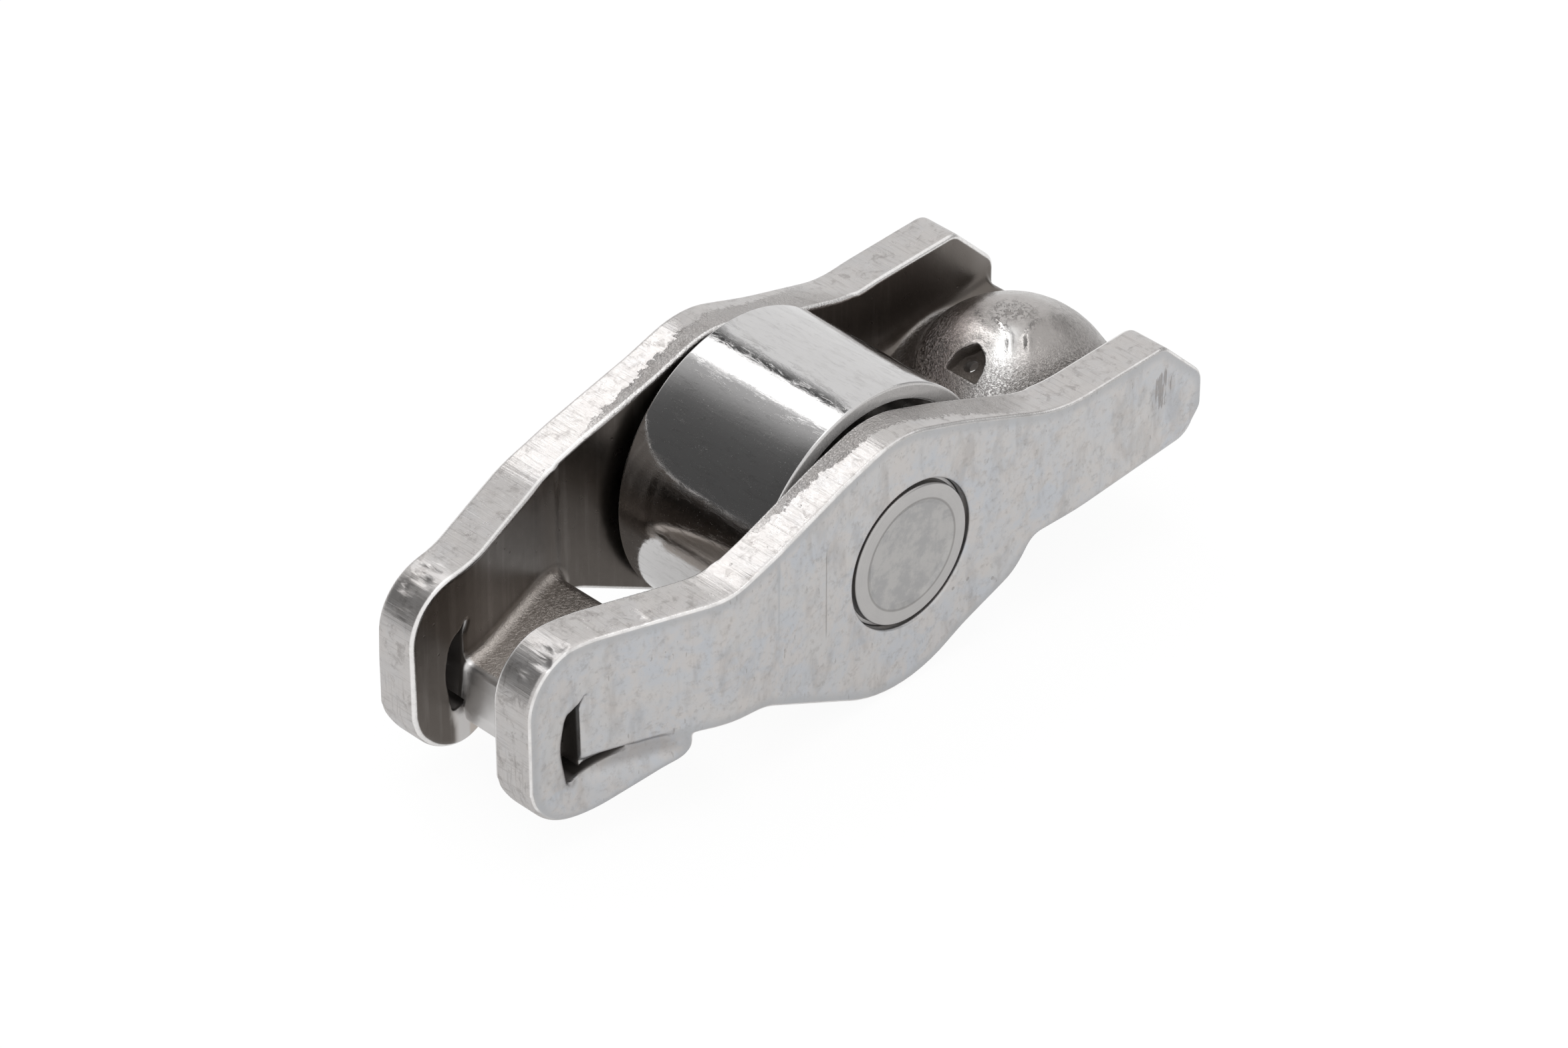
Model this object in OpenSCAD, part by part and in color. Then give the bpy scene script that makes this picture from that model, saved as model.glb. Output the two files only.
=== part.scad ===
// Roller finger follower: a rocker arm that pivots on a ball at one end, pushes a valve stem
// with a pad at the other, and carries a needle-bearing cam roller in between.
// The datum is the centre of the pivot ball. +X runs to the pivot end, Y along the axle, +Z up.
// Below, sizes are first laid out from the roller's axle and then moved to the datum.

/* [Roller bearing] */
// Outer diameter of the cam roller
roller_d = 17.5; // [16.5:0.1:18]
// Width of the cam roller
roller_w = 10.6; // [9.5:0.1:11.5]
// Radius on the roller's outer edges
roller_edge_r = 0.5; // [0.3:0.05:0.8]
// Diameter of the axle pin
pin_d = 9; // [8.6:0.05:9.4]
// Diameter of one bearing needle
needle_d = 2; // [1.8:0.05:2.2]
// Running clearance on each side of a needle
needle_gap = 0.02; // [0.01:0.005:0.04]
// How much shorter a needle is than the roller is wide
needle_short = 0.5; // [0.3:0.1:1.2]
// Side clearance between the roller and each wall
side_gap = 0.4; // [0.2:0.05:0.6]

/* [Sheet metal arm] */
// Thickness of the sheet that the arm is pressed from
sheet_t = 2.8; // [2.4:0.05:3]
// From the axle to the tip of the valve end
nose_x = 25.8; // [25:0.1:27.5]
// From the axle to the pivot end
tail_x = 22.3; // [22.3:0.1:24]
// Gap between the two lips that guide the valve stem
stem_gap = 6.2; // [5.4:0.1:6.8]
// How much each wall stands further out in front of the roller than beside it
shoulder_out = 0.3; // [0:0.05:0.5]
// Depth of the flat pocket pressed into each wall beside the roller
pocket_depth = 0.12; // [0.05:0.01:0.2]
// Radius of the bend from the wall into the bottom at the pivot end
bend_r = 1; // [0.6:0.1:1.8]
// Fit between the axle pin and its holes in the walls
pin_fit = 0.01; // [0.005:0.005:0.02]
// Size of the rolled-over rim round each axle hole
hole_rim = 0.15; // [0.05:0.05:0.3]

/* [Side outline] */
// Height of the top edge over the axle at the valve end
nose_top = 4.3; // [4:0.1:4.8]
// Height of the top edge over the axle at the pivot end
tail_top = 4.7; // [4.4:0.1:5]
// Height of the low top edge between hump and ends
waist_top = 4.5; // [4.2:0.1:4.7]
// Height of the hump over the axle
hump_top = 8.05; // [7.6:0.05:8.4]
// Depth of the belly under the axle
belly_bottom = 8.4; // [8:0.05:8.6]
// Depth of the wall's bottom edge under the axle at the valve end
plate_bottom = 3.7; // [3.4:0.05:3.9]
// Depth of the wall's bottom edge under the axle at the tail
tail_bottom = 2.65; // [2.4:0.05:3]
// Rise of the bottom edge along the pivot end, per unit of length
tail_rise = 0.078; // [0.05:0.002:0.1]
// How far the hump and belly sit towards the valve end from the axle
belly_shift = 0.85; // [0.4:0.05:1.2]

/* [Stem guide lip and window] */
// Depth of the lip under the axle
lip_bottom = 7; // [6.6:0.05:7.4]
// Length of the lip, from the tip of the arm to its rear end
lip_len = 9.8; // [9:0.1:10.6]
// Width of the standing strip in front of the window
strip_w = 2.4; // [2.1:0.05:2.7]
// Width of the standing slot in the window
slot_w = 1.2; // [1:0.05:1.5]
// Height of the lying slot at its open end
slot_h = 0.85; // [0.6:0.05:1]
// Height of the top of the window over the axle
slot_top = 0.65; // [0.3:0.05:1]

/* [Valve pad] */
// Thickness of the pad
pad_t = 3.8; // [3.2:0.05:4]
// Depth of the pad's top under the axle
pad_top = 1.65; // [1.3:0.05:1.9]
// Radius of the pad's curved underside
pad_r = 18; // [14:0.5:26]
// Room between the pad's sides and the lips
pad_side_gap = 0.1; // [0.05:0.05:0.2]
// Gap between the pad and the roller
pad_roller_gap = 3.5; // [3:0.1:4]

/* [Pivot socket] */
// From the axle to the centre of the pivot ball
pivot_x = 16.8; // [16.5:0.1:17.2]
// Depth of the ball centre under the axle
pivot_z = 1.75; // [1.6:0.05:1.9]
// Diameter of the pivot ball
ball_d = 8; // [7.4:0.1:8.2]
// Outer radius of the drawn dome
dome_r = 6.4; // [6.2:0.05:6.6]
// Depth of the dome's centre under the ball centre
dome_drop = 0.9; // [0.8:0.05:1]
// Height of the flat crown over the ball centre
crown_h = 5.4; // [5.2:0.05:5.45]
// Gap between the dome and each wall
dome_gap = 0.25; // [0.1:0.05:0.4]
// Gap between the roller and the front edge of the pivot end's bottom
web_roller_gap = 1.75; // [1.4:0.05:2]
// Diameter of the oil spray hole
oil_d = 0.8; // [0.5:0.05:1]
// Width of the pit round the oil hole
pit_w = 2.5; // [2:0.1:2.8]
// Angle of the oil hole over the horizontal
oil_angle = 45; // [42:1:48]

/* [Hidden] */
$fn = 96;
// Largest turn between two points of a rounded corner
arc_step = 9;
// Overlap that carries a cut past a face
over = 1;
// Height of the blanks that the outlines cut, over and under the axle
blank_h = 12;

race_d = pin_d + 2 * (needle_d + 2 * needle_gap);
needle_orbit_r = (pin_d + race_d) / 4;
needle_len = roller_w - needle_short;
needle_count = floor(180 / asin((needle_d + needle_gap) / (2 * needle_orbit_r)));
needle_end_r = needle_d / 10;
pin_chamfer = pin_d / 36;
pin_face_r = 0.37 * pin_d;
pin_face_depth = 0.15;
race_chamfer = 0.4;

inner_w = roller_w + 2 * side_gap;
axle_w = inner_w + 2 * sheet_t;
shoulder_w = axle_w + 2 * shoulder_out;
nose_w = stem_gap + 2 * sheet_t;
tail_w = 2 * (dome_r + dome_gap + sheet_t);

// The wall's path in plan runs from the valve end to the pivot end, as [x, half width, corner radius]
taper_front_x = -(nose_x - 3.9);
pad_rear_x = -(roller_d / 2 + pad_roller_gap);
web_front_x = roller_d / 2 + web_roller_gap;
taper_rear_x = pad_rear_x - 1.75;
plan_path = [
    [-nose_x - over, nose_w / 2, 0],
    [taper_front_x, nose_w / 2, 7],
    [taper_rear_x, shoulder_w / 2, 7],
    [taper_rear_x + 3.4, shoulder_w / 2, 12],
    [taper_rear_x + 9, axle_w / 2, 12],
    [pin_d / 2 - 0.5, axle_w / 2, 16],
    [web_front_x + 2, tail_w / 2 - 0.1, 16],
    [tail_x + over, tail_w / 2, 0]
];

hump_slope = 19;
belly_slope = 27.5;
pad_front_x = -(nose_x - strip_w - slot_w);
lip_rear_x = -(nose_x - lip_len);
shoulder_x = web_front_x - 1.4;
tail_slope_x = tail_x - (tail_top - 1.5);
tail_at = function(x) -tail_bottom - tail_rise * (tail_x - x);

function needle_name(i) = str("needle_", i < 10 ? "0" : "", i);

// Points of one corner, rounded by an arc that is tangent to both of its sides
function corner(a, p, b) =
    let (r = p[2], q = [p[0], p[1]])
    r == 0 ? [q] :
    let (
        u = [a[0] - q[0], a[1] - q[1]] / norm([a[0] - q[0], a[1] - q[1]]),
        v = [b[0] - q[0], b[1] - q[1]] / norm([b[0] - q[0], b[1] - q[1]]),
        half = acos(u * v) / 2,
        c = q + (u + v) / norm(u + v) * r / sin(half),
        from = q + u * r / tan(half) - c,
        turn = 180 - 2 * half,
        side = u[0] * v[1] - u[1] * v[0] > 0 ? -1 : 1,
        steps = max(2, ceil(turn / arc_step)),
        start = atan2(from[1], from[0])
    )
    [for (k = [0:steps]) c + r * [cos(start + side * turn * k / steps), sin(start + side * turn * k / steps)]];

// A closed outline from its corners, each [x, y, radius]
function closed_outline(c) =
    [for (i = [0:len(c) - 1]) each corner(c[(i + len(c) - 1) % len(c)], c[i], c[(i + 1) % len(c)])];

// An open path from its corners; the two ends stay as they are
function open_path(c) =
    [for (i = [0:len(c) - 1]) each
        (i == 0 || i == len(c) - 1) ? [[c[i][0], c[i][1]]] : corner(c[i - 1], c[i], c[i + 1])];

// The path moved sideways by d, square to its own direction at each point
function beside(path, d) =
    [for (i = [0:len(path) - 1])
        let (
            along = path[min(i + 1, len(path) - 1)] - path[max(i - 1, 0)],
            unit = along / norm(along)
        )
        path[i] + d * [unit[1], -unit[0]]];

function reversed(list) = [for (i = [len(list) - 1:-1:0]) list[i]];

outer_path = open_path(plan_path);
inner_path = beside(outer_path, sheet_t);
half_web_path = beside(outer_path, sheet_t / 2);
inset_path = beside(outer_path, sheet_t + pad_side_gap);
pocket_path = beside(outer_path, sheet_t - pocket_depth);

// Plan shapes, all seen from above
module wall_plan() polygon(concat(outer_path, reversed(inner_path)));
module span_plan(path) polygon(concat(path, [for (p = reversed(path)) [p[0], -p[1]]]));

// Stands a shape drawn in X and Z upright, as wide as the arm and more
module across(width) {
    translate([0, width / 2, 0])
        rotate([90, 0, 0])
            linear_extrude(width)
                children();
}

// Puts what is laid out from the axle where it lies from the pivot ball's centre
module from_axle() {
    translate([-pivot_x, 0, pivot_z])
        children();
}

module both_sides() {
    children();
    mirror([0, 1, 0])
        children();
}

// Side view of a wall: hump and belly round the axle, a sloped tail, and the lip under the valve end
module wall_outline() {
    hump_peak = hump_top + 6.3 * (1 / cos(hump_slope) - 1);
    belly_peak = belly_bottom + 8.5 * (1 / cos(belly_slope) - 1);
    hump_run = (hump_peak - waist_top) / tan(hump_slope);
    belly_run = (belly_peak - plate_bottom - 0.35) / tan(belly_slope);
    difference() {
        union() {
            polygon(closed_outline([
                [-nose_x, nose_top, 3.4],
                [-belly_shift - hump_run - 1.5, waist_top - 0.02, 9],
                [-belly_shift, hump_peak, 6.3],
                [-belly_shift + hump_run, waist_top, 9],
                [tail_slope_x, tail_top, 1.3],
                [tail_x, 1.5, 1.4],
                [tail_x, -tail_bottom, 1.9],
                [shoulder_x, tail_at(shoulder_x), 1],
                [shoulder_x - 1.5, tail_at(shoulder_x) - 1.55, 3.5],
                [-belly_shift, -belly_peak, 8.5],
                [-belly_shift - belly_run, -plate_bottom - 0.35, 4],
                [lip_rear_x + 0.4, -plate_bottom, 2],
                [-nose_x, -plate_bottom, 0]
            ]));
            polygon(closed_outline([
                [-nose_x, nose_top - 4, 0],
                [lip_rear_x - 4, nose_top - 4, 0],
                [lip_rear_x, -plate_bottom + 0.1, 0],
                [lip_rear_x + 0.05, -plate_bottom - 1.35, 1.5],
                [-nose_x, -lip_bottom - 1.8, 3.9]
            ]));
        }
        window_outline();
    }
}

// The window that parts the lip from the wall: a standing slot before the pad and a lying
// slot under the wall that closes to a crease
module window_outline() {
    front_x = -(nose_x - strip_w);
    floor_z = -plate_bottom - slot_h;
    polygon(closed_outline([
        [pad_front_x + 0.35, slot_top + 0.15, 0],
        [front_x + 0.35, slot_top - 0.45, 1.2],
        [front_x - 0.1, -plate_bottom / 2, 4],
        [front_x + 0.35, floor_z, 0.25],
        [lip_rear_x - 1.3, -plate_bottom - 0.2, 0],
        [lip_rear_x - 1.3, -plate_bottom, 0],
        [pad_front_x, -plate_bottom, 0.15],
        [pad_front_x, slot_top - 0.5, 0.3]
    ]));
}

// Side view of the pad: near-vertical front with a fold line, flat top, curved underside
module pad_outline() {
    pad_floor = -pad_top - pad_t;
    top_rear = -pad_top - 0.55;
    difference() {
        polygon(closed_outline([
            [pad_front_x, -pad_top, 0],
            [pad_rear_x - 3, -pad_top - 0.25, 5],
            [pad_rear_x, top_rear, 0.8],
            [pad_rear_x, pad_floor - over, 0],
            [pad_front_x - 0.2, pad_floor - over, 0],
            [pad_front_x - 0.2, pad_floor, 0],
            [pad_front_x - 0.5, -pad_top - 2.5, 0],
            [pad_front_x - 0.1, -pad_top - 0.9, 0]
        ]));
        difference() {
            translate([pad_front_x - over, pad_floor - 2 * over])
                square([pad_rear_x - pad_front_x + 2 * over, 4 * over]);
            translate([(pad_front_x + pad_rear_x) / 2 - 0.6, pad_floor + pad_r - 0.35])
                circle(pad_r, $fn = 180);
        }
    }
}

// Side view of the bottom between the walls at the pivot end
module web_outline() {
    polygon(closed_outline([
        [web_front_x, tail_at(web_front_x), 0.4],
        [tail_x, -tail_bottom, 0.6],
        [tail_x, sheet_t - tail_bottom, 0.6],
        [web_front_x, sheet_t + tail_at(web_front_x), 0.4]
    ]));
}

module walls() {
    intersection() {
        both_sides()
            translate([0, 0, -blank_h])
                linear_extrude(2 * blank_h)
                    wall_plan();
        across(3 * axle_w)
            wall_outline();
    }
}

// The pressed pocket that gives the roller its flat side faces
module pocket_cut() {
    translate([0, 0, -blank_h])
        linear_extrude(2 * blank_h)
            intersection() {
                span_plan(pocket_path);
                translate([pad_rear_x - 0.2, -axle_w])
                    square([web_front_x + 0.4 - pad_rear_x, 2 * axle_w]);
            }
}

module pad() {
    intersection() {
        across(3 * axle_w)
            pad_outline();
        union() {
            translate([0, 0, -blank_h])
                linear_extrude(2 * blank_h)
                    span_plan(inset_path);
            translate([0, 0, -plate_bottom])
                linear_extrude(blank_h)
                    span_plan(half_web_path);
        }
    }
}

module pivot_web() {
    intersection() {
        across(3 * axle_w)
            web_outline();
        translate([0, 0, -blank_h])
            linear_extrude(2 * blank_h)
                span_plan(half_web_path);
    }
}

// The outside of the drawn dome: a sphere with a flat crown, cut off where the bottom ends
module dome() {
    centre_z = -pivot_z - dome_drop;
    crown_z = crown_h - pivot_z;
    foot_z = tail_at(pivot_x) + sheet_t / 2;
    intersection() {
        translate([pivot_x, 0, centre_z])
            sphere(dome_r);
        translate([pivot_x - dome_r - over, -dome_r - over, foot_z])
            cube([tail_x - pivot_x + dome_r + over, 2 * (dome_r + over), crown_z - foot_z]);
    }
}

// The ball's seat: half a sphere over a short straight mouth that flares at its rim
module socket_cut() {
    ball_r = ball_d / 2;
    mouth_z = tail_at(pivot_x) + pivot_z;
    translate([pivot_x, 0, -pivot_z]) {
        sphere(ball_r);
        translate([0, 0, mouth_z - 2 * over])
            cylinder(h = -mouth_z + 2 * over, r = ball_r);
    }
}

// The oil spray hole, and the three-cornered pit that it opens into, facing the roller
module oil_cut() {
    pit_floor = dome_r - dome_drop * sin(oil_angle) - 1;
    translate([pivot_x, 0, -pivot_z])
        rotate([0, oil_angle - 90, 0]) {
            cylinder(h = dome_r + over, r = oil_d / 2, $fn = 32);
            translate([0, 0, pit_floor])
                linear_extrude(3 * over)
                    polygon(closed_outline([
                        [-pit_w * 0.35, pit_w / 2, pit_w / 9],
                        [pit_w * 0.78, 0, pit_w / 4],
                        [-pit_w * 0.35, -pit_w / 2, pit_w / 9]
                    ]));
        }
}

// Rounds the outer edge where a wall bends into the bottom at the pivot end
module bend_cut() {
    start = [web_front_x - 1.5, tail_w / 2 - 0.1 * (tail_x - web_front_x + 1.5) / (tail_x - web_front_x - 1)];
    finish = [tail_x + over, tail_w / 2 + 0.02];
    run = finish - start;
    length = norm(run);
    translate([start[0], start[1], tail_at(start[0])])
        rotate([0, -atan(tail_rise), atan2(run[1], run[0])])
            rotate([90, 0, 90])
                linear_extrude(length)
                    difference() {
                        translate([-bend_r, -over])
                            square([bend_r + over, bend_r + over]);
                        translate([-bend_r, bend_r])
                            circle(bend_r);
                    }
}

module axle_holes() {
    hole_r = pin_d / 2 + pin_fit;
    rotate([90, 0, 0])
        cylinder(h = 2 * axle_w, r = hole_r, center = true);
    both_sides()
        translate([0, axle_w / 2 + over, 0])
            rotate([90, 0, 0])
                cylinder(h = over + hole_rim, r1 = hole_r + hole_rim + over, r2 = hole_r);
}

// The arm itself, pressed from one piece of sheet
module arm_body() {
    color([0.66, 0.66, 0.67])
        from_axle()
            difference() {
                union() {
                    difference() {
                        walls();
                        pocket_cut();
                        both_sides()
                            bend_cut();
                    }
                    pad();
                    pivot_web();
                    dome();
                }
                socket_cut();
                oil_cut();
                axle_holes();
            }
}

// The fixed axle: a plain pin with a shallow round recess in each end
module axle_pin() {
    half = axle_w / 2;
    color([0.6, 0.6, 0.61])
        from_axle()
            rotate([90, 0, 0])
                rotate_extrude()
                    polygon([
                        [0, -half + pin_face_depth],
                        [pin_face_r - pin_face_depth, -half + pin_face_depth],
                        [pin_face_r, -half],
                        [pin_d / 2 - pin_chamfer, -half],
                        [pin_d / 2, -half + pin_chamfer],
                        [pin_d / 2, half - pin_chamfer],
                        [pin_d / 2 - pin_chamfer, half],
                        [pin_face_r, half],
                        [pin_face_r - pin_face_depth, half - pin_face_depth],
                        [0, half - pin_face_depth]
                    ]);
}

// The roller's ring, with rounded outer edges and a chamfered race
module cam_roller() {
    half = roller_w / 2;
    color([0.78, 0.78, 0.8])
        from_axle()
            rotate([90, 0, 0])
                rotate_extrude()
                    polygon(closed_outline([
                        [race_d / 2, -half + race_chamfer, 0],
                        [race_d / 2 + race_chamfer, -half, 0],
                        [roller_d / 2, -half, roller_edge_r],
                        [roller_d / 2, half, roller_edge_r],
                        [race_d / 2 + race_chamfer, half, 0],
                        [race_d / 2, half - race_chamfer, 0]
                    ]));
}

// One needle of the bearing; the needles fill the ring between pin and race
module needle(i) {
    half = needle_len / 2;
    r = needle_d / 2;
    color([0.72, 0.72, 0.74])
        from_axle()
            rotate([0, 360 * (i - 1) / needle_count, 0])
                translate([needle_orbit_r, 0, 0])
                    rotate([90, 0, 0])
                        rotate_extrude($fn = 48)
                            polygon([
                                [0, -half],
                                [r - needle_end_r, -half],
                                [r, -half + needle_end_r],
                                [r, half - needle_end_r],
                                [r - needle_end_r, half],
                                [0, half]
                            ]);
}

arm_body();
axle_pin();
cam_roller();
for (i = [1:needle_count])
    needle(i);
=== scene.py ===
"""Rocker arm with a cam roller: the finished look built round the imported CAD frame.

Sizes are in millimetres and are laid out from the roller's axle, as in the part's source. Meshes
are written in metres in the row frame, whose origin is the centre of the pivot ball's seat.
"""

from __future__ import annotations

import logging
import math
import sys
from dataclasses import dataclass, field
from enum import Enum
from typing import Callable, Sequence

import bpy
import numpy as np
from mathutils import Matrix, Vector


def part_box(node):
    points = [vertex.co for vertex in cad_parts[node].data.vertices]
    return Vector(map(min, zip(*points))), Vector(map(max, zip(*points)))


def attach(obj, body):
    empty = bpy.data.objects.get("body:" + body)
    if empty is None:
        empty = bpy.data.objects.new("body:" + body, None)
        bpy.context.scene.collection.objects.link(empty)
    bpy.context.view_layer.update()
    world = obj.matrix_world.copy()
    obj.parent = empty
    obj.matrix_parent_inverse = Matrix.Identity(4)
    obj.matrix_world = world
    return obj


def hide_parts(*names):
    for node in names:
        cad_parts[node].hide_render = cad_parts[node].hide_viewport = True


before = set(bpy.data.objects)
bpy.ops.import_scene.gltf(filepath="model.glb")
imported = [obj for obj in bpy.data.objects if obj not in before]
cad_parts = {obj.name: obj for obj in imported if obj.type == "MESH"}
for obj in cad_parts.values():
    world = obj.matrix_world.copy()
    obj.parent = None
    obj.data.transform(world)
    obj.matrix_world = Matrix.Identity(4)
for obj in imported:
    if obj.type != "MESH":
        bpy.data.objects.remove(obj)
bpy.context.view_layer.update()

LOG = logging.getLogger("rocker_arm")
MM = 0.001
SLANT = math.sqrt(0.5)

Array = np.ndarray
Corner = tuple[float, float, float]
Colour = tuple[float, float, float]
Point = tuple[float, float]
Span = tuple[float, float, float, float]
Solid = Callable[[np.ndarray, np.ndarray, np.ndarray], np.ndarray]


def box_mm(node: str) -> tuple[Array, Array]:
    """Lowest and highest corner of a CAD node in millimetres, in the row frame."""
    low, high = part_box(node)
    return np.array(low) / MM, np.array(high) / MM


AXLE = sum(box_mm("axle_pin")) / 2


class Body(Enum):
    """The bodies that the pieces ride on."""

    ARM = "arm"
    ROLLER = "roller"
    NEEDLES = "needle_set"


# Shape arithmetic on signed distances: negative inside, positive outside, in millimetres


def both(a: Array, b: Array, radius: Array | float = 0.0) -> Array:
    """Intersection of two solids whose shared edge is rounded.

    Args:
        a: Distance to the first solid.
        b: Distance to the second solid.
        radius: Radius of the rounded edge.

    Returns:
        Distance to the space that both solids share.
    """
    over_a = a + radius
    over_b = b + radius
    inner = np.minimum(np.maximum(over_a, over_b), 0.0)
    return inner + np.hypot(np.maximum(over_a, 0.0), np.maximum(over_b, 0.0)) - radius


def either(a: Array, b: Array, fillet: Array | float = 0.0) -> Array:
    """Union of two solids with a filleted joint.

    Args:
        a: Distance to the first solid.
        b: Distance to the second solid.
        fillet: Width of the fillet.

    Returns:
        Distance to the joined solid.
    """
    width = np.maximum(fillet, 1e-4)
    share = np.maximum(width - np.abs(a - b), 0.0) / width
    return np.minimum(a, b) - 0.25 * width * share * share


def ramp(value: Array, low: float, high: float) -> Array:
    """Smooth step from 0 at low to 1 at high; low may be the larger."""
    t = np.clip((value - low) / (high - low), 0.0, 1.0)
    return t * t * (3.0 - 2.0 * t)


def arc_corner(a: Corner, p: Corner, b: Corner, turn_step: float) -> list[Point]:
    """Points of one corner, rounded by an arc tangent to both of its sides.

    Args:
        a: The corner before.
        p: The corner itself, as x, y and radius.
        b: The corner after.
        turn_step: Largest turn between two points, in degrees.

    Returns:
        The points of the arc, or the corner alone where its radius is 0.
    """
    here = np.array(p[:2])
    if p[2] == 0:
        return [(float(here[0]), float(here[1]))]
    u = np.array(a[:2]) - here
    v = np.array(b[:2]) - here
    u = u / np.linalg.norm(u)
    v = v / np.linalg.norm(v)
    half = math.acos(float(np.clip(u @ v, -1, 1))) / 2
    bisector = (u + v) / np.linalg.norm(u + v)
    centre = here + bisector * p[2] / math.sin(half)
    start = here + u * p[2] / math.tan(half) - centre
    turn = math.pi - 2 * half
    side = -1.0 if u[0] * v[1] - u[1] * v[0] > 0 else 1.0
    steps = max(2, math.ceil(math.degrees(turn) / turn_step))
    first = math.atan2(start[1], start[0])
    angles = [first + side * turn * k / steps for k in range(steps + 1)]
    return [(float(centre[0] + p[2] * math.cos(t)), float(centre[1] + p[2] * math.sin(t))) for t in angles]


class Outline:
    """A closed flat outline with rounded corners that gives signed distances."""

    def __init__(self, corners: Sequence[Corner], pitch: float = 0.06, margin: float = 2.0) -> None:
        """Rounds the corners and lays out the distance raster.

        Args:
            corners: The corners in order, each as x, y and radius.
            pitch: Spacing of the raster that distances are read from.
            margin: Width of the raster round the outline.
        """
        n = len(corners)
        points: list[Point] = []
        for i, corner in enumerate(corners):
            points += arc_corner(corners[i - 1], corner, corners[(i + 1) % n], 5.0)
        self.points = np.array(points)
        self.pitch = pitch
        self.low = self.points.min(0) - margin
        shape = np.ceil((self.points.max(0) + margin - self.low) / pitch).astype(int) + 1
        u = (self.low[0] + pitch * np.arange(shape[0]))[:, None].astype(np.float32)
        v = (self.low[1] + pitch * np.arange(shape[1]))[None, :].astype(np.float32)
        self.raster = self._measure(u, v)

    def _measure(self, u: Array, v: Array) -> Array:
        """Exact signed distance from each raster point to the outline."""
        nearest = np.full(np.broadcast_shapes(u.shape, v.shape), 1e9, np.float32)
        odd = np.zeros(nearest.shape, bool)
        for a, b in zip(self.points, np.roll(self.points, -1, axis=0)):
            run = b - a
            length2 = float(run @ run)
            if length2 < 1e-12:
                continue
            t = np.clip(((u - a[0]) * run[0] + (v - a[1]) * run[1]) / length2, 0.0, 1.0)
            nearest = np.minimum(nearest, (u - a[0] - t * run[0]) ** 2 + (v - a[1] - t * run[1]) ** 2)
            if run[1] != 0:
                crosses = ((a[1] > v) != (b[1] > v)) & (u < a[0] + run[0] * (v - a[1]) / run[1])
                odd ^= crosses
        return (np.where(odd, -1.0, 1.0) * np.sqrt(nearest)).astype(np.float32)

    def distance(self, u: Array, v: Array) -> Array:
        """Signed distance, read from the raster between its points.

        Args:
            u: First coordinate.
            v: Second coordinate, which broadcasts against the first.

        Returns:
            The distance, negative inside the outline.
        """
        rows, columns = self.raster.shape
        s = np.clip((u - self.low[0]) / self.pitch, 0, rows - 1.001)
        t = np.clip((v - self.low[1]) / self.pitch, 0, columns - 1.001)
        s, t = np.broadcast_arrays(s, t)
        i = s.astype(np.int32)
        j = t.astype(np.int32)
        fs = (s - i).astype(np.float32)
        ft = (t - j).astype(np.float32)
        r = self.raster
        low = r[i, j] * (1 - ft) + r[i, j + 1] * ft
        high = r[i + 1, j] * (1 - ft) + r[i + 1, j + 1] * ft
        return low * (1 - fs) + high * fs


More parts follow.
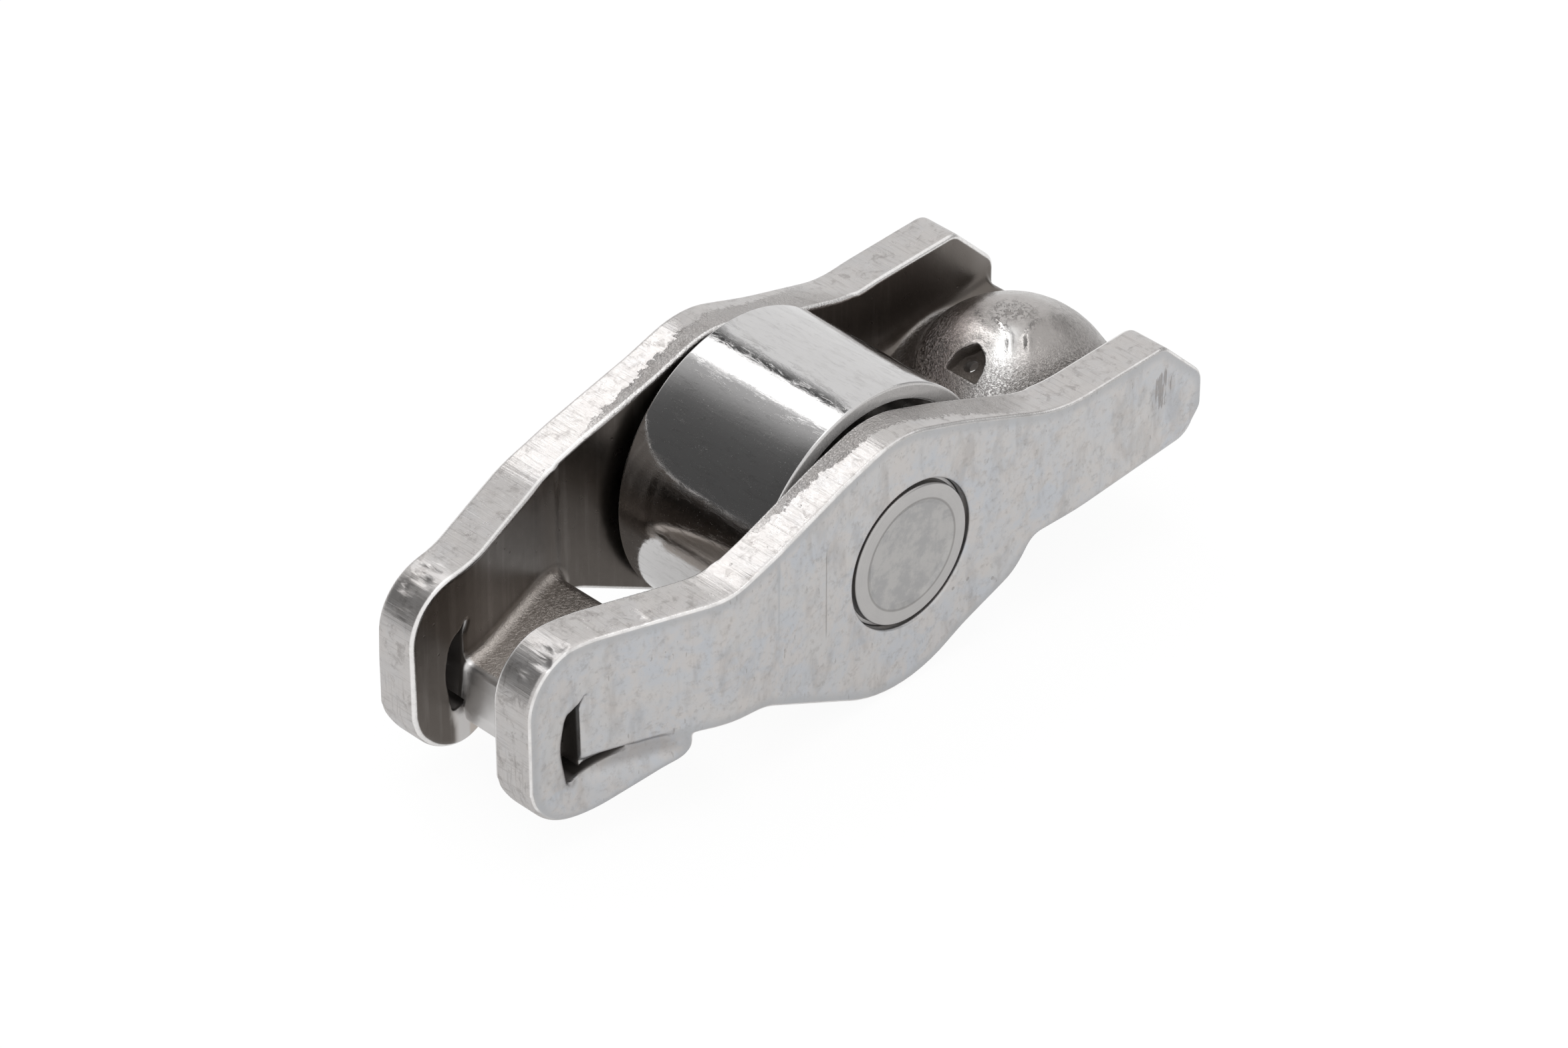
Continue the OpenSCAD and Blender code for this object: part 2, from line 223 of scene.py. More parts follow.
class SkinNet:
    """Turns a signed distance into a closed mesh of quads that follows its zero surface."""

    CORNERS = np.array([[i, j, k] for i in (0, 1) for j in (0, 1) for k in (0, 1)])
    SLAB = 48
    PROBE = 0.02
    EASE = 0.08

    def __init__(self, solid: Solid, low: Array, high: Array, step: float) -> None:
        """Samples the solid on a grid.

        Args:
            solid: Gives the distance at arrays of x, y and z that broadcast together.
            low: Lowest corner of the sampled box.
            high: Highest corner of the sampled box.
            step: Spacing of the grid.
        """
        self.solid = solid
        self.low = np.asarray(low, float)
        self.step = step
        counts = np.ceil((np.asarray(high) - self.low) / step).astype(int) + 1
        axes = [(self.low[i] + step * np.arange(counts[i])).astype(np.float32) for i in range(3)]
        y = axes[1][None, :, None]
        z = axes[2][None, None, :]
        slabs = []
        for start in range(0, counts[0], self.SLAB):
            x = axes[0][start : start + self.SLAB][:, None, None]
            slabs.append(solid(x, y, z).astype(np.float32))
        self.values = np.concatenate(slabs, axis=0)

    def mesh(self) -> tuple[Array, Array]:
        """Vertices that keep the solid's edges crisp, and the quads between them, facing outwards."""
        inside = self.values < 0
        count = np.zeros(tuple(n - 1 for n in inside.shape), np.uint8)
        for corner in self.CORNERS:
            count += inside[tuple(slice(c, n - 1 + c) for c, n in zip(corner, inside.shape))]
        active = (count > 0) & (count < 8)
        cells = np.argwhere(active)
        index = np.full(active.shape, -1, np.int32)
        index[active] = np.arange(len(cells))
        crossings = [self._crossings(inside, index, axis) for axis in range(3)]
        square = np.zeros((len(cells), 3, 3))
        pull = np.zeros((len(cells), 3))
        middle = np.zeros((len(cells), 3))
        hits = np.zeros(len(cells))
        for ring, _, places in crossings:
            normals = self.gradient(self.low + self.step * places, self.PROBE)
            for k in range(4):
                own = ring[:, k]
                local = places - cells[own]
                reach = np.einsum("ni,ni->n", normals, local)
                hits += np.bincount(own, minlength=len(cells))
                for i in range(3):
                    middle[:, i] += np.bincount(own, local[:, i], len(cells))
                    pull[:, i] += np.bincount(own, normals[:, i] * reach, len(cells))
                    for j in range(3):
                        square[:, i, j] += np.bincount(own, normals[:, i] * normals[:, j], len(cells))
        middle /= hits[:, None]
        pull -= np.einsum("nij,nj->ni", square, middle)
        shift = np.linalg.solve(square + self.EASE * np.eye(3), pull[..., None])[..., 0]
        vertices = self.low + self.step * (cells + np.clip(middle + shift, 0.02, 0.98))
        return vertices, np.concatenate(self._facing(crossings))

    @staticmethod
    def _facing(crossings: list[tuple[Array, Array, Array]]) -> list[Array]:
        """The rings of cells as quads, each turned so that it faces outwards."""
        quads = []
        for ring, leaving, _ in crossings:
            turned = ring.copy()
            turned[~leaving] = ring[~leaving][:, ::-1]
            quads.append(turned)
        return quads

    def _crossings(self, inside: Array, index: Array, axis: int) -> tuple[Array, Array, Array]:
        """Grid edges along one axis that the surface crosses.

        Args:
            inside: Which grid points lie inside.
            index: Vertex number of each cell.
            axis: The axis.

        Returns:
            The four cells round each edge, whether the edge leaves the solid, and where it is crossed.
        """
        near = [slice(None)] * 3
        far = [slice(None)] * 3
        near[axis] = slice(0, -1)
        far[axis] = slice(1, None)
        at = np.argwhere(inside[tuple(near)] != inside[tuple(far)])
        b = (axis + 1) % 3
        c = (axis + 2) % 3
        next_at = at.copy()
        next_at[:, axis] += 1
        here = self.values[tuple(at.T)]
        there = self.values[tuple(next_at.T)]
        places = at.astype(float)
        places[:, axis] += here / (here - there)
        ring = []
        for db, dc in ((-1, -1), (0, -1), (0, 0), (-1, 0)):
            cell = at.copy()
            cell[:, b] += db
            cell[:, c] += dc
            ring.append(index[tuple(cell.T)])
        return np.stack(ring, 1), inside[tuple(at.T)], places

    def gradient(self, points: Array, reach: float = 0.03) -> Array:
        """Unit outward direction of the solid at each point.

        Args:
            points: Places, one a row.
            reach: Distance over which the change is measured.

        Returns:
            One unit vector a row.
        """
        columns = []
        for axis in range(3):
            ahead = points.copy()
            behind = points.copy()
            ahead[:, axis] += reach
            behind[:, axis] -= reach
            columns.append(self.solid(*ahead.T) - self.solid(*behind.T))
        slope = np.stack(columns, 1)
        return slope / np.maximum(np.linalg.norm(slope, axis=1), 1e-9)[:, None]

    def settle(self, points: Array, rounds: int = 2) -> Array:
        """Moves points onto the surface along its slope.

        Args:
            points: Places near the surface, one a row.
            rounds: How often the move is repeated.

        Returns:
            The moved points.
        """
        limit = 0.6 * self.step
        for _ in range(rounds):
            gap = self.solid(*points.T)
            points = points - np.clip(gap, -limit, limit)[:, None] * self.gradient(points)
        return points


def row_metres(points: Array) -> Array:
    """Millimetres from the axle as metres in the row frame."""
    return (np.asarray(points, float) + AXLE) * MM


def mesh_object(name: str, vertices: Array, faces: Array | list[Sequence[int]]) -> bpy.types.Object:
    """Makes a mesh object from millimetres laid out from the axle.

    Args:
        name: The piece's name.
        vertices: Points, one a row.
        faces: Vertex numbers of each face.

    Returns:
        The new object, linked to the scene.
    """
    mesh = bpy.data.meshes.new(name)
    mesh.from_pydata(row_metres(vertices).tolist(), [], [list(map(int, f)) for f in faces])
    mesh.validate()
    mesh.shade_smooth()
    piece = bpy.data.objects.new(name, mesh)
    bpy.context.scene.collection.objects.link(piece)
    return piece


def baked(piece: bpy.types.Object) -> bpy.types.Object:
    """Turns a piece's modifiers into plain mesh and removes them."""
    graph = bpy.context.evaluated_depsgraph_get()
    result = bpy.data.meshes.new_from_object(piece.evaluated_get(graph))
    old = piece.data
    piece.modifiers.clear()
    piece.data = result
    result.name = piece.name
    bpy.data.meshes.remove(old)
    return piece


def points_of(piece: bpy.types.Object) -> Array:
    """The mesh's points in millimetres from the axle, one a row."""
    flat = np.zeros(len(piece.data.vertices) * 3, np.float32)
    piece.data.vertices.foreach_get("co", flat)
    return flat.reshape(-1, 3).astype(float) / MM - AXLE


def move_points(piece: bpy.types.Object, points: Array) -> None:
    """Writes millimetres from the axle back to the mesh."""
    piece.data.vertices.foreach_set("co", row_metres(points).astype(np.float32).ravel())
    piece.data.update()


def lathe(name: str, profile: Sequence[Point], closed: bool, segments: int) -> bpy.types.Object:
    """Turns a profile round the axle.

    Args:
        name: The piece's name.
        profile: Radius and place along Y of each point, running so that faces point outwards.
        closed: Whether the profile is a loop; an open one ends in poles on the axis.
        segments: Steps round the turn.

    Returns:
        The new object.
    """
    turn = 2 * math.pi * np.arange(segments) / segments
    rings: list[list[int]] = []
    vertices: list[tuple[float, float, float]] = []
    for radius, along in profile:
        first = len(vertices)
        if radius < 1e-6:
            vertices.append((0.0, along, 0.0))
            rings.append([first] * segments)
            continue
        vertices += [(radius * math.cos(t), along, radius * math.sin(t)) for t in turn]
        rings.append(list(range(first, first + segments)))
    faces: list[Sequence[int]] = []
    pairs = list(zip(rings, rings[1:] + rings[:1])) if closed else list(zip(rings, rings[1:]))
    for a, b in pairs:
        for i in range(segments):
            j = (i + 1) % segments
            corners = list(dict.fromkeys((a[i], b[i], b[j], a[j])))
            faces.append(corners)
    return mesh_object(name, np.array(vertices), faces)


# Shader building

Settings = dict[str, object]
Values = dict[str | int, object]


class Sock:
    """A shader socket that adds Math nodes when it is used in an expression."""

    def __init__(self, bench: Bench, socket: bpy.types.NodeSocket) -> None:
        """Wraps an output socket."""
        self.bench = bench
        self.socket = socket

    def _math(self, operation: str, *values: Sock | float) -> Sock:
        """One Math node on the given values."""
        return self.bench.node("ShaderNodeMath", {"operation": operation}, dict(enumerate(values)))

    def __add__(self, other: Sock | float) -> Sock:
        """Sum."""
        return self._math("ADD", self, other)

    __radd__ = __add__

    def __mul__(self, other: Sock | float) -> Sock:
        """Product."""
        return self._math("MULTIPLY", self, other)

    __rmul__ = __mul__

    def __sub__(self, other: Sock | float) -> Sock:
        """Difference."""
        return self._math("SUBTRACT", self, other)

    def __rsub__(self, other: float) -> Sock:
        """Difference from a number."""
        return self._math("SUBTRACT", other, self)

    def either(self, other: Sock | float) -> Sock:
        """The larger of two values."""
        return self._math("MAXIMUM", self, other)

    def size(self) -> Sock:
        """The value without its sign."""
        return self._math("ABSOLUTE", self)

    def clip(self) -> Sock:
        """The value held between 0 and 1."""
        return self.bench.node("ShaderNodeClamp", {}, {"Value": self})

    def step(self, low: float, high: float) -> Sock:
        """Smooth step from 0 at low to 1 at high."""
        values = {"Value": self, "From Min": low, "From Max": high}
        return self.bench.node("ShaderNodeMapRange", {"interpolation_type": "SMOOTHSTEP"}, values)


class Bench:
    """A node tree under construction."""

    def __init__(self, tree: bpy.types.NodeTree) -> None:
        """Clears the tree."""
        self.tree = tree
        self.tree.nodes.clear()

    def place(self, kind: str, settings: Settings, values: Values) -> bpy.types.Node:
        """Adds a node of any type.

        Args:
            kind: The node's type name.
            settings: Its settings, which are set first.
            values: Its inputs by name or number, each a value or a Sock.

        Returns:
            The node.
        """
        new = self.tree.nodes.new(kind)
        for key, value in settings.items():
            setattr(new, key, value)
        for key, value in values.items():
            if isinstance(value, Sock):
                self.tree.links.new(value.socket, new.inputs[key])
            else:
                new.inputs[key].default_value = value
        return new

    def node(self, kind: str, settings: Settings, values: Values, output: str | int = 0) -> Sock:
        """Adds a node of any type and hands back one of its outputs."""
        return Sock(self, self.place(kind, settings, values).outputs[output])

    def mix(self, share: Sock | float, a: Sock | Sequence[float], b: Sock | Sequence[float]) -> Sock:
        """Colour between a and b."""
        ends = [end if isinstance(end, Sock) else (*end, 1.0) for end in (a, b)]
        values = {0: share, 6: ends[0], 7: ends[1]}
        return self.node("ShaderNodeMix", {"data_type": "RGBA"}, values, 2)

    def axis(self, place: Sock, name: str) -> Sock:
        """One coordinate of a place: X, Y or Z."""
        return self.node("ShaderNodeSeparateXYZ", {}, {"Vector": place}, name)

    def vector(self, operation: str, *values: Sock | Sequence[float], output: str | int = 0) -> Sock:
        """One Vector Math node on the given values."""
        return self.node("ShaderNodeVectorMath", {"operation": operation}, dict(enumerate(values)), output)

    def attribute(self, name: str) -> Sock:
        """A number stored on the mesh."""
        settings = {"attribute_type": "GEOMETRY", "attribute_name": name}
        return self.node("ShaderNodeAttribute", settings, {}, "Fac")


class Paint(Bench):
    """A material under construction, with its main shader."""

    def __init__(self, name: str) -> None:
        """Starts an empty material."""
        self.material = bpy.data.materials.new(name)
        self.material.use_nodes = True
        super().__init__(self.material.node_tree)
        self.shader = self.place("ShaderNodeBsdfPrincipled", {}, {})
        self.place("ShaderNodeOutputMaterial", {}, {"Surface": Sock(self, self.shader.outputs[0])})

    def millimetres(self) -> Sock:
        """Object coordinates in millimetres, laid out from the axle."""
        place = self.node("ShaderNodeTexCoord", {}, {}, "Object")
        values = {"Vector": place, "Scale": (1 / MM,) * 3, "Location": tuple(-AXLE)}
        return self.node("ShaderNodeMapping", {"vector_type": "POINT"}, values)

    def stretched(self, place: Sock, scale: Sequence[float], turn: Sequence[float] = (0, 0, 0)) -> Sock:
        """Coordinates that are scaled and turned, for lines and grain."""
        values = {"Vector": place, "Scale": tuple(scale), "Rotation": tuple(turn)}
        return self.node("ShaderNodeMapping", {"vector_type": "POINT"}, values)

    def noise(self, place: Sock, scale: float, detail: float, rough: float, warp: float = 0.0) -> Sock:
        """Fractal noise around one half."""
        values = {"Vector": place, "Scale": scale, "Detail": detail, "Roughness": rough, "Distortion": warp}
        return self.node("ShaderNodeTexNoise", {}, values)

    def cells(self, place: Sock, scale: float) -> Sock:
        """Distance to the nearest of scattered points."""
        return self.node("ShaderNodeTexVoronoi", {"feature": "F1"}, {"Vector": place, "Scale": scale})

    def radius(self, place: Sock) -> Sock:
        """Distance from the line of the axle."""
        return self.vector("LENGTH", self.vector("MULTIPLY", place, (1.0, 0.0, 1.0)), output="Value")

    def bump(self, height: Sock, depth: float, under: Sock | None = None) -> Sock:
        """Normal from a height of 0 to 1.

        Args:
            height: The height.
            depth: What a height of 1 stands for, in millimetres.
            under: The normal that this one is laid over.

        Returns:
            The bumped normal.
        """
        values: Values = {"Height": height, "Strength": 1.0, "Distance": depth * MM}
        if under is not None:
            values["Normal"] = under
        return self.node("ShaderNodeBump", {}, values)

    def set(self, **inputs: object) -> None:
        """Sets the main shader's inputs; underscores stand for spaces."""
        for key, value in inputs.items():
            socket = self.shader.inputs[key.replace("_", " ")]
            if isinstance(value, Sock):
                self.tree.links.new(value.socket, socket)
            else:
                socket.default_value = value


class ArmPaint(Paint):
    """The arm's material under construction, with the share of the skin that each finish covers."""

    def __init__(self, name: str, tail: float) -> None:
        """Reads the depths stored on the mesh and works out the shares.

        Args:
            name: The material's name.
            tail: Place of the pivot end's face along the arm.
        """
        super().__init__(name)
        self.mm = self.millimetres()
        self.along = self.axis(self.mm, "X")
        self.height = self.axis(self.mm, "Z")
        self.outside = self.attribute("from_outside")
        self.inside = self.attribute("from_inside")
        self.edge = self.attribute("from_edge")
        self.window = self.attribute("from_window")
        self.drawn = self.attribute("drawn")
        self.crown = self.attribute("crown") * self.drawn
        # The dome's hidden side carries painted shade.
        self.shaded_side = self.attribute("shaded_side")
        self.recess = self.attribute("sunk").either(self.attribute("in_seat"))
        self.wobble = self.noise(self.mm, 0.9, 4.0, 0.65) - 0.5
        self.fray = self.noise(self.mm, 4.5, 3.0, 0.6) - 0.5
        self.nose = 1.0 - self.along.step(-23.5, -20.5)
        self.near_axle = 1.0 - self.vector("LENGTH", self.mm, output="Value").step(11.0, 14.0)

        self.within = self.inside.step(-0.25, -0.1)
        end_face = self.along.step(tail - 0.16, tail - 0.06)
        self.cut = ((1.0 - self.edge.step(0.06, 0.24)) * self.within).either(end_face)
        self.channel = (1.0 - self.inside.step(0.04, 0.16)) * (1.0 - self.cut)
        self.flank = (1.0 - self.cut) * (1.0 - self.channel)
        self.on_pad = self.attribute("on_pad") * self.channel
        self.pad_front = self.on_pad * (1.0 - self.along.step(-21.95, -21.7))
        # The cut faces inside the slot, which get painted shadow.
        self.pocket = (1.0 - self.window.step(0.04, 0.12)) * self.outside.step(0.15, 0.5) * self.within
        ragged = self.outside + self.along * 0.1 + self.wobble * 1.1 + self.fray * 0.9
        self.torn = self.cut * ragged.step(1.15, 1.35) * self.near_axle
        self.line = self._line()
        self.marks = self._marks()

        self.lines = self.noise(self.stretched(self.mm, (9.0, 0.35, 9.0)), 1.0, 4.0, 0.65)
        self.patch = self.noise(self.mm, 0.75, 5.0, 0.62, 0.8)
        self.speck = self.noise(self.mm, 3.4, 5.0, 0.7, 0.8).step(0.50, 0.57)
        self.peel = self.noise(self.mm, 4.8, 3.0, 0.65, 1.8)
        self.low_down = 1.0 - self.height.step(1.9, 3.2) * 0.85

    def spot(self, centre: Sequence[float], reach: Sequence[float], core: float = 0.75) -> Sock:
        """1 at a place and 0 beyond its reach.

        Args:
            centre: The place, in millimetres from the axle.
            reach: How far it goes along each axis.
            core: Share of the reach that is still 1.

        Returns:
            The share.
        """
        away = self.vector("SUBTRACT", self.mm, tuple(centre))
        scaled = self.vector("DIVIDE", away, tuple(reach))
        return 1.0 - self.vector("LENGTH", scaled, output="Value").step(core, 1.0)

    def _line(self) -> Sock:
        """Painted highlights along the lines where the sheet's faces meet its cut edge, which are partly
        burnished.
        """
        outer = 1.0 - (self.outside - self.edge).size().step(0.06, 0.16)
        outer = outer * (1.0 - (self.outside + self.edge).step(0.24, 0.44))
        inner = 1.0 - (self.inside - self.edge).size().step(0.14, 0.26)
        inner = inner * (1.0 - (self.inside + self.edge).step(0.36, 0.54)) * self.within
        return (outer * (self.wobble * 2.0 + 0.85) + inner * (self.fray * 1.2 + 1.0)).clip()

    def _marks(self) -> Sock:
        """Chatter marks, one fine upright scratch and three pits on the outer faces."""
        upright = self.noise(self.stretched(self.mm, (3.6, 1.0, 0.30)), 1.0, 3.0, 0.6)
        chatter = upright + self.spot((19.0, -9.4, 1.8), (1.5, 2.5, 2.6), 0.3) * 0.4
        scratch = 1.0 - (self.along + 6.62).size().step(0.02, 0.06)
        scratch = scratch * self.spot((-6.62, -9.0, 0.8), (1.0, 2.0, 3.2))
        for dot in ((6.2, -8.7, -4.7), (4.4, -8.7, -3.9), (3.3, -8.6, -4.0)):
            scratch = scratch.either(self.spot(dot, (0.12, 1.5, 0.12)))
        return chatter.step(0.88, 0.93).either(scratch * 0.8) * self.flank


@dataclass(frozen=True)
class TumbledSteel:
    """Satin pressed steel: outer skin, sheared edges, a brownish inside darkened as painted shade, a grainy
    drawn dome, and painted highlights and shade.
    """

    skin: Colour = (0.57, 0.56, 0.555)
    cool: Colour = (0.53, 0.545, 0.572)
    warm: Colour = (0.59, 0.56, 0.54)
    # Dirt and marks, and also the painted shade beside the slot, under the crease and on the dome's right
    # side.
    soot_and_shade: Colour = (0.28, 0.26, 0.25)
    # Brownish inside of the channel, darkened as painted shade; also the painted shade at the dome's hidden
    # foot.
    shaded_brown: Colour = (0.135, 0.12, 0.108)
    # Painted light on the upper inside at the pivot end, also the colour of rub marks there.
    lit_and_rubbed: Colour = (0.27, 0.25, 0.235)
    pad: Colour = (0.60, 0.55, 0.51)
    # Painted shadow on the cut faces inside the slot.
    slot_shadow: Colour = (0.045, 0.038, 0.033)
    # Painted light: highlights along the edges, the band down the dome and the pad's front face.
    painted_light: Colour = (0.90, 0.885, 0.875)
    sheared: Colour = (0.54, 0.518, 0.505)
    grainy: Colour = (0.46, 0.44, 0.425)
    # Painted shade on the dome's hidden side.
    shaded: Colour = (0.27, 0.235, 0.22)
    # Brownish floor of the pit, and painted shade in the oil hole and the seat cavity.
    pit: Colour = (0.13, 0.11, 0.095)
    # Painted shade on the rounded band along the edges, where the faces curve away from the light.
    edge_shade: Colour = (0.45, 0.455, 0.465)
    tail: float = 22.3
    rough_skin: float = 0.38
    rough_cut: float = 0.29
    rough_inside: float = 0.30

    def material(self) -> bpy.types.Material:
        """Builds the node material."""
        p = ArmPaint("tumbled_steel", self.tail)
        colour = self._cut_edges(p, self._sheet(p))
        colour = self._channel(p, colour)
        colour = p.mix(p.drawn, colour, self._shell(p))
        # Brownish pit, with painted shade in the oil hole and the seat cavity.
        colour = p.mix(p.recess, colour, self.pit)
        # Painted shadow in the slot.
        colour = p.mix(p.pocket * 0.96, colour, self.slot_shadow)
        # Painted highlight along the edges.
        colour = p.mix(p.line * 0.85, colour, self.painted_light)
        colour = p.mix(p.marks * 0.7, colour, self.soot_and_shade)
        # Painted shade under the crease and beside the slot.
        colour = p.mix(self._slot_shade(p) * 0.6, colour, self.soot_and_shade)
        metal = 1.0 - p.recess * 0.9
        p.set(Base_Color=colour, Metallic=metal, Roughness=self._roughness(p), Normal=self._relief(p))
        return p.material

    def _sheet(self, p: ArmPaint) -> Sock:
        """Colour of the outer faces: clouds of warm and cool grey under faint dirt, and painted shade on
        the band along the edges.
        """
        cloud = p.noise(p.mm, 0.26, 4.0, 0.6, 0.6)
        mottle = p.noise(p.mm, 2.4, 5.0, 0.7)
        streak = p.noise(p.stretched(p.mm, (0.9, 1.0, 0.35), (0.0, 0.5, 0.0)), 1.0, 4.0, 0.6, 0.4)
        colour = p.mix(cloud.step(0.38, 0.64), self.skin, self.cool)
        colour = p.mix(p.patch.step(0.40, 0.66) * 0.75, colour, self.warm)
        colour = p.mix(streak.step(0.48, 0.70) * 0.28, colour, self.soot_and_shade)
        colour = p.mix(mottle.step(0.48, 0.74) * 0.42, colour, self.soot_and_shade)
        # Painted shade on the rounded band along the edges.
        return p.mix((1.0 - p.edge.step(0.30, 0.85)) * (1.0 - p.cut) * 0.7, colour, self.edge_shade)

    def _cut_edges(self, p: ArmPaint, colour: Sock) -> Sock:
        """Lays the sheared edges over a colour: shear lines, file strokes, torn strip and stains."""
        colour = p.mix(p.cut * 0.75, colour, self.sheared)
        strokes = p.noise(p.stretched(p.mm, (1.0, 6.0, 0.4)), 1.0, 3.0, 0.6).step(0.55, 0.62)
        strokes = strokes * p.nose * p.cut * (1.0 - p.height.step(-2.6, -0.8))
        colour = p.mix(strokes.either(p.lines.step(0.52, 0.66) * p.cut * 0.8) * 0.4, colour, self.soot_and_shade)
        colour = p.mix(p.torn * 0.45, colour, self.soot_and_shade)
        stain = p.noise(p.mm, 1.3, 6.0, 0.72, 0.5).step(0.50, 0.68)
        colour = p.mix(stain * p.cut * 0.6, colour, self.soot_and_shade)
        scuff = p.noise(p.stretched(p.mm, (5.0, 1.0, 1.5), (0.0, 0.4, 0.0)), 1.0, 2.0, 0.5).step(0.70, 0.75)
        return p.mix(scuff * (1.0 - p.cut) * 0.45, colour, self.soot_and_shade)

    def _channel(self, p: ArmPaint, colour: Sock) -> Sock:
        """Lays the channel's brownish inside, darkened as painted shade with painted light and a painted
        dark reflection, and the pad with painted light on its front, over a colour.
        """
        rub = p.noise(p.stretched(p.mm, (1.3, 1.0, 0.10)), 1.0, 4.0, 0.6).step(0.50, 0.68)
        # Painted light on the upper inside at the pivot end, with rub marks.
        lit = (p.along.step(18.0, 22.0) * p.height.step(0.6, 2.8)).either(rub * 0.25)
        # Painted dark reflection of the dome on the far wall's inside.
        mirrored = p.spot((17.6, 6.6, 1.6), (4.6, 4.0, 3.4), 0.5)
        near_side = 1.0 - p.axis(p.mm, "Y").step(-5.6, -5.0)
        inner = p.mix(lit * (1.0 - mirrored), self.shaded_brown, self.lit_and_rubbed)
        inner = p.mix(near_side * p.near_axle * 0.8, inner, self.sheared)
        # The channel's brownish inside, darkened as painted shade.
        colour = p.mix(p.channel * (1.0 - p.drawn), colour, inner)
        colour = p.mix(p.on_pad, colour, self.pad)
        # Painted light on the pad's front face.
        colour = p.mix(p.pad_front, colour, self.skin)
        return p.mix(p.pad_front * 0.35, colour, self.painted_light)

    def _shell(self, p: ArmPaint) -> Sock:
        """Colour of the drawn dome, with painted shade on its hidden and right sides and a painted
        highlight band.
        """
        colour = p.mix(p.patch.step(0.5, 0.7) * 0.25, self.grainy, self.soot_and_shade)
        # Painted shade on the dome's hidden side, darkest at its foot.
        colour = p.mix(p.shaded_side, colour, self.shaded)
        colour = p.mix(p.shaded_side * (1.0 - p.height.step(-1.2, 0.8)), colour, self.shaded_brown)
        # Painted shade on the dome's right side.
        colour = p.mix(p.attribute("right_shade") * 0.5, colour, self.soot_and_shade)
        # Painted highlight band down the dome's near side.
        colour = p.mix(p.attribute("sheen"), colour, self.painted_light)
        crease = (1.0 - p.peel.step(0.42, 0.52)) * p.low_down
        colour = p.mix(crease * 0.75, colour, self.soot_and_shade)
        return p.mix(p.speck * p.crown * 0.8, colour, self.soot_and_shade)

    def _slot_shade(self, p: ArmPaint) -> Sock:
        """Painted shade under the crease over the lip and beside the standing slot."""
        under_fold = 1.0 - (p.height + 3.95).size().step(0.15, 0.75)
        under_fold = under_fold * p.along.step(-22.6, -20.5) * (1.0 - p.along.step(-17.6, -16.2))
        by_slot = (1.0 - p.window.step(0.0, 0.55)) * (1.0 - p.along.step(-22.7, -22.3))
        return under_fold.either(by_slot) * p.flank

    def _roughness(self, p: ArmPaint) -> Sock:
        """Roughness of the whole arm."""
        rough = p.noise(p.mm, 1.1, 4.0, 0.6) * 0.16 + (self.rough_skin - 0.08)
        rough = rough - p.cut * (self.rough_skin - self.rough_cut)
        rough = rough - p.channel * (self.rough_skin - self.rough_inside)
        rough = rough + p.pocket * 0.4 + p.on_pad * 0.04 - p.drawn * 0.13
        rough = rough - p.line * 0.08 + p.nose * p.cut * 0.10 + p.recess * 0.3
        return rough.clip()

    def _relief(self, p: ArmPaint) -> Sock:
        """Normal of the whole arm: skin, shear lines, torn gravel, orange peel, pits and marks."""
        fine = p.noise(p.mm, 9.0, 3.0, 0.6)
        wave = p.noise(p.mm, 0.45, 2.0, 0.5)
        gravel = p.noise(p.mm, 7.5, 3.0, 0.6, 0.5)
        leather = p.on_pad * (1.0 - p.pad_front) * 0.35
        pits = 1.0 - p.cells(p.mm, 0.85).step(0.03, 0.09)
        normal = p.bump(fine * 0.15 + wave, 0.03)
        normal = p.bump(p.lines * p.cut * (1.0 - p.torn), 0.014, normal)
        normal = p.bump(gravel * p.torn, 0.09, normal)
        normal = p.bump(p.peel * (p.drawn * p.low_down * (1.0 - p.crown)).either(leather), 0.10, normal)
        normal = p.bump(p.speck * p.crown * -1.0, 0.03, normal)
        normal = p.bump(pits * -1.0, 0.015, normal)
        return p.bump(p.marks * -1.0, 0.02, normal)


@dataclass(frozen=True)
class GroundSteel:
    """Bearing steel ground nearly to a mirror, with faint running marks round it."""

    base: Colour = (0.60, 0.592, 0.59)
    smeared: Colour = (0.52, 0.51, 0.505)
    scuffed: Colour = (0.36, 0.35, 0.345)
    ends: Colour = (0.66, 0.645, 0.635)
    half_width: float = 5.3
    rough: float = 0.07

    def material(self) -> bpy.types.Material:
        """Builds the node material."""
        p = Paint("ground_steel")
        mm = p.millimetres()
        rings = p.noise(p.stretched(mm, (0.05, 9.0, 0.05)), 1.0, 3.0, 0.6)
        smear = p.noise(p.stretched(mm, (1.9, 0.5, 1.9)), 1.0, 7.0, 0.75, 0.6)
        scuffs = p.noise(p.stretched(mm, (3.2, 0.7, 3.2)), 1.0, 7.0, 0.75, 0.8).step(0.52, 0.64)
        wear = p.noise(p.stretched(mm, (4.0, 2.0, 4.0)), 1.0, 3.0, 0.6)
        speck = p.noise(mm, 11.0, 2.0, 0.5).step(0.66, 0.72)
        off_centre = p.axis(mm, "Y").size()
        end = off_centre.step(self.half_width - 0.10, self.half_width - 0.03)
        turning = p.node("ShaderNodeCombineXYZ", {}, {"X": p.radius(mm), "Y": off_centre})
        end_rings = p.noise(turning, 9.0, 3.0, 0.6)
        colour = p.mix(smear.step(0.45, 0.75), self.base, self.smeared)
        colour = p.mix(scuffs * 0.3, colour, self.scuffed)
        colour = p.mix(end * (end_rings * 0.7 + 0.6).clip(), colour, self.ends)
        rough = smear.step(0.47, 0.70) * 0.22 + speck * 0.25 + end * 0.2 + (self.rough - 0.03)
        bump = p.bump(rings * 0.4 + wear * 0.8 + smear + scuffs * 0.3, 0.0026)
        bump = p.bump(end_rings * end, 0.003, bump)
        p.set(Base_Color=colour, Metallic=1.0 - end * 0.6, Roughness=rough.clip(), Normal=bump)
        return p.material


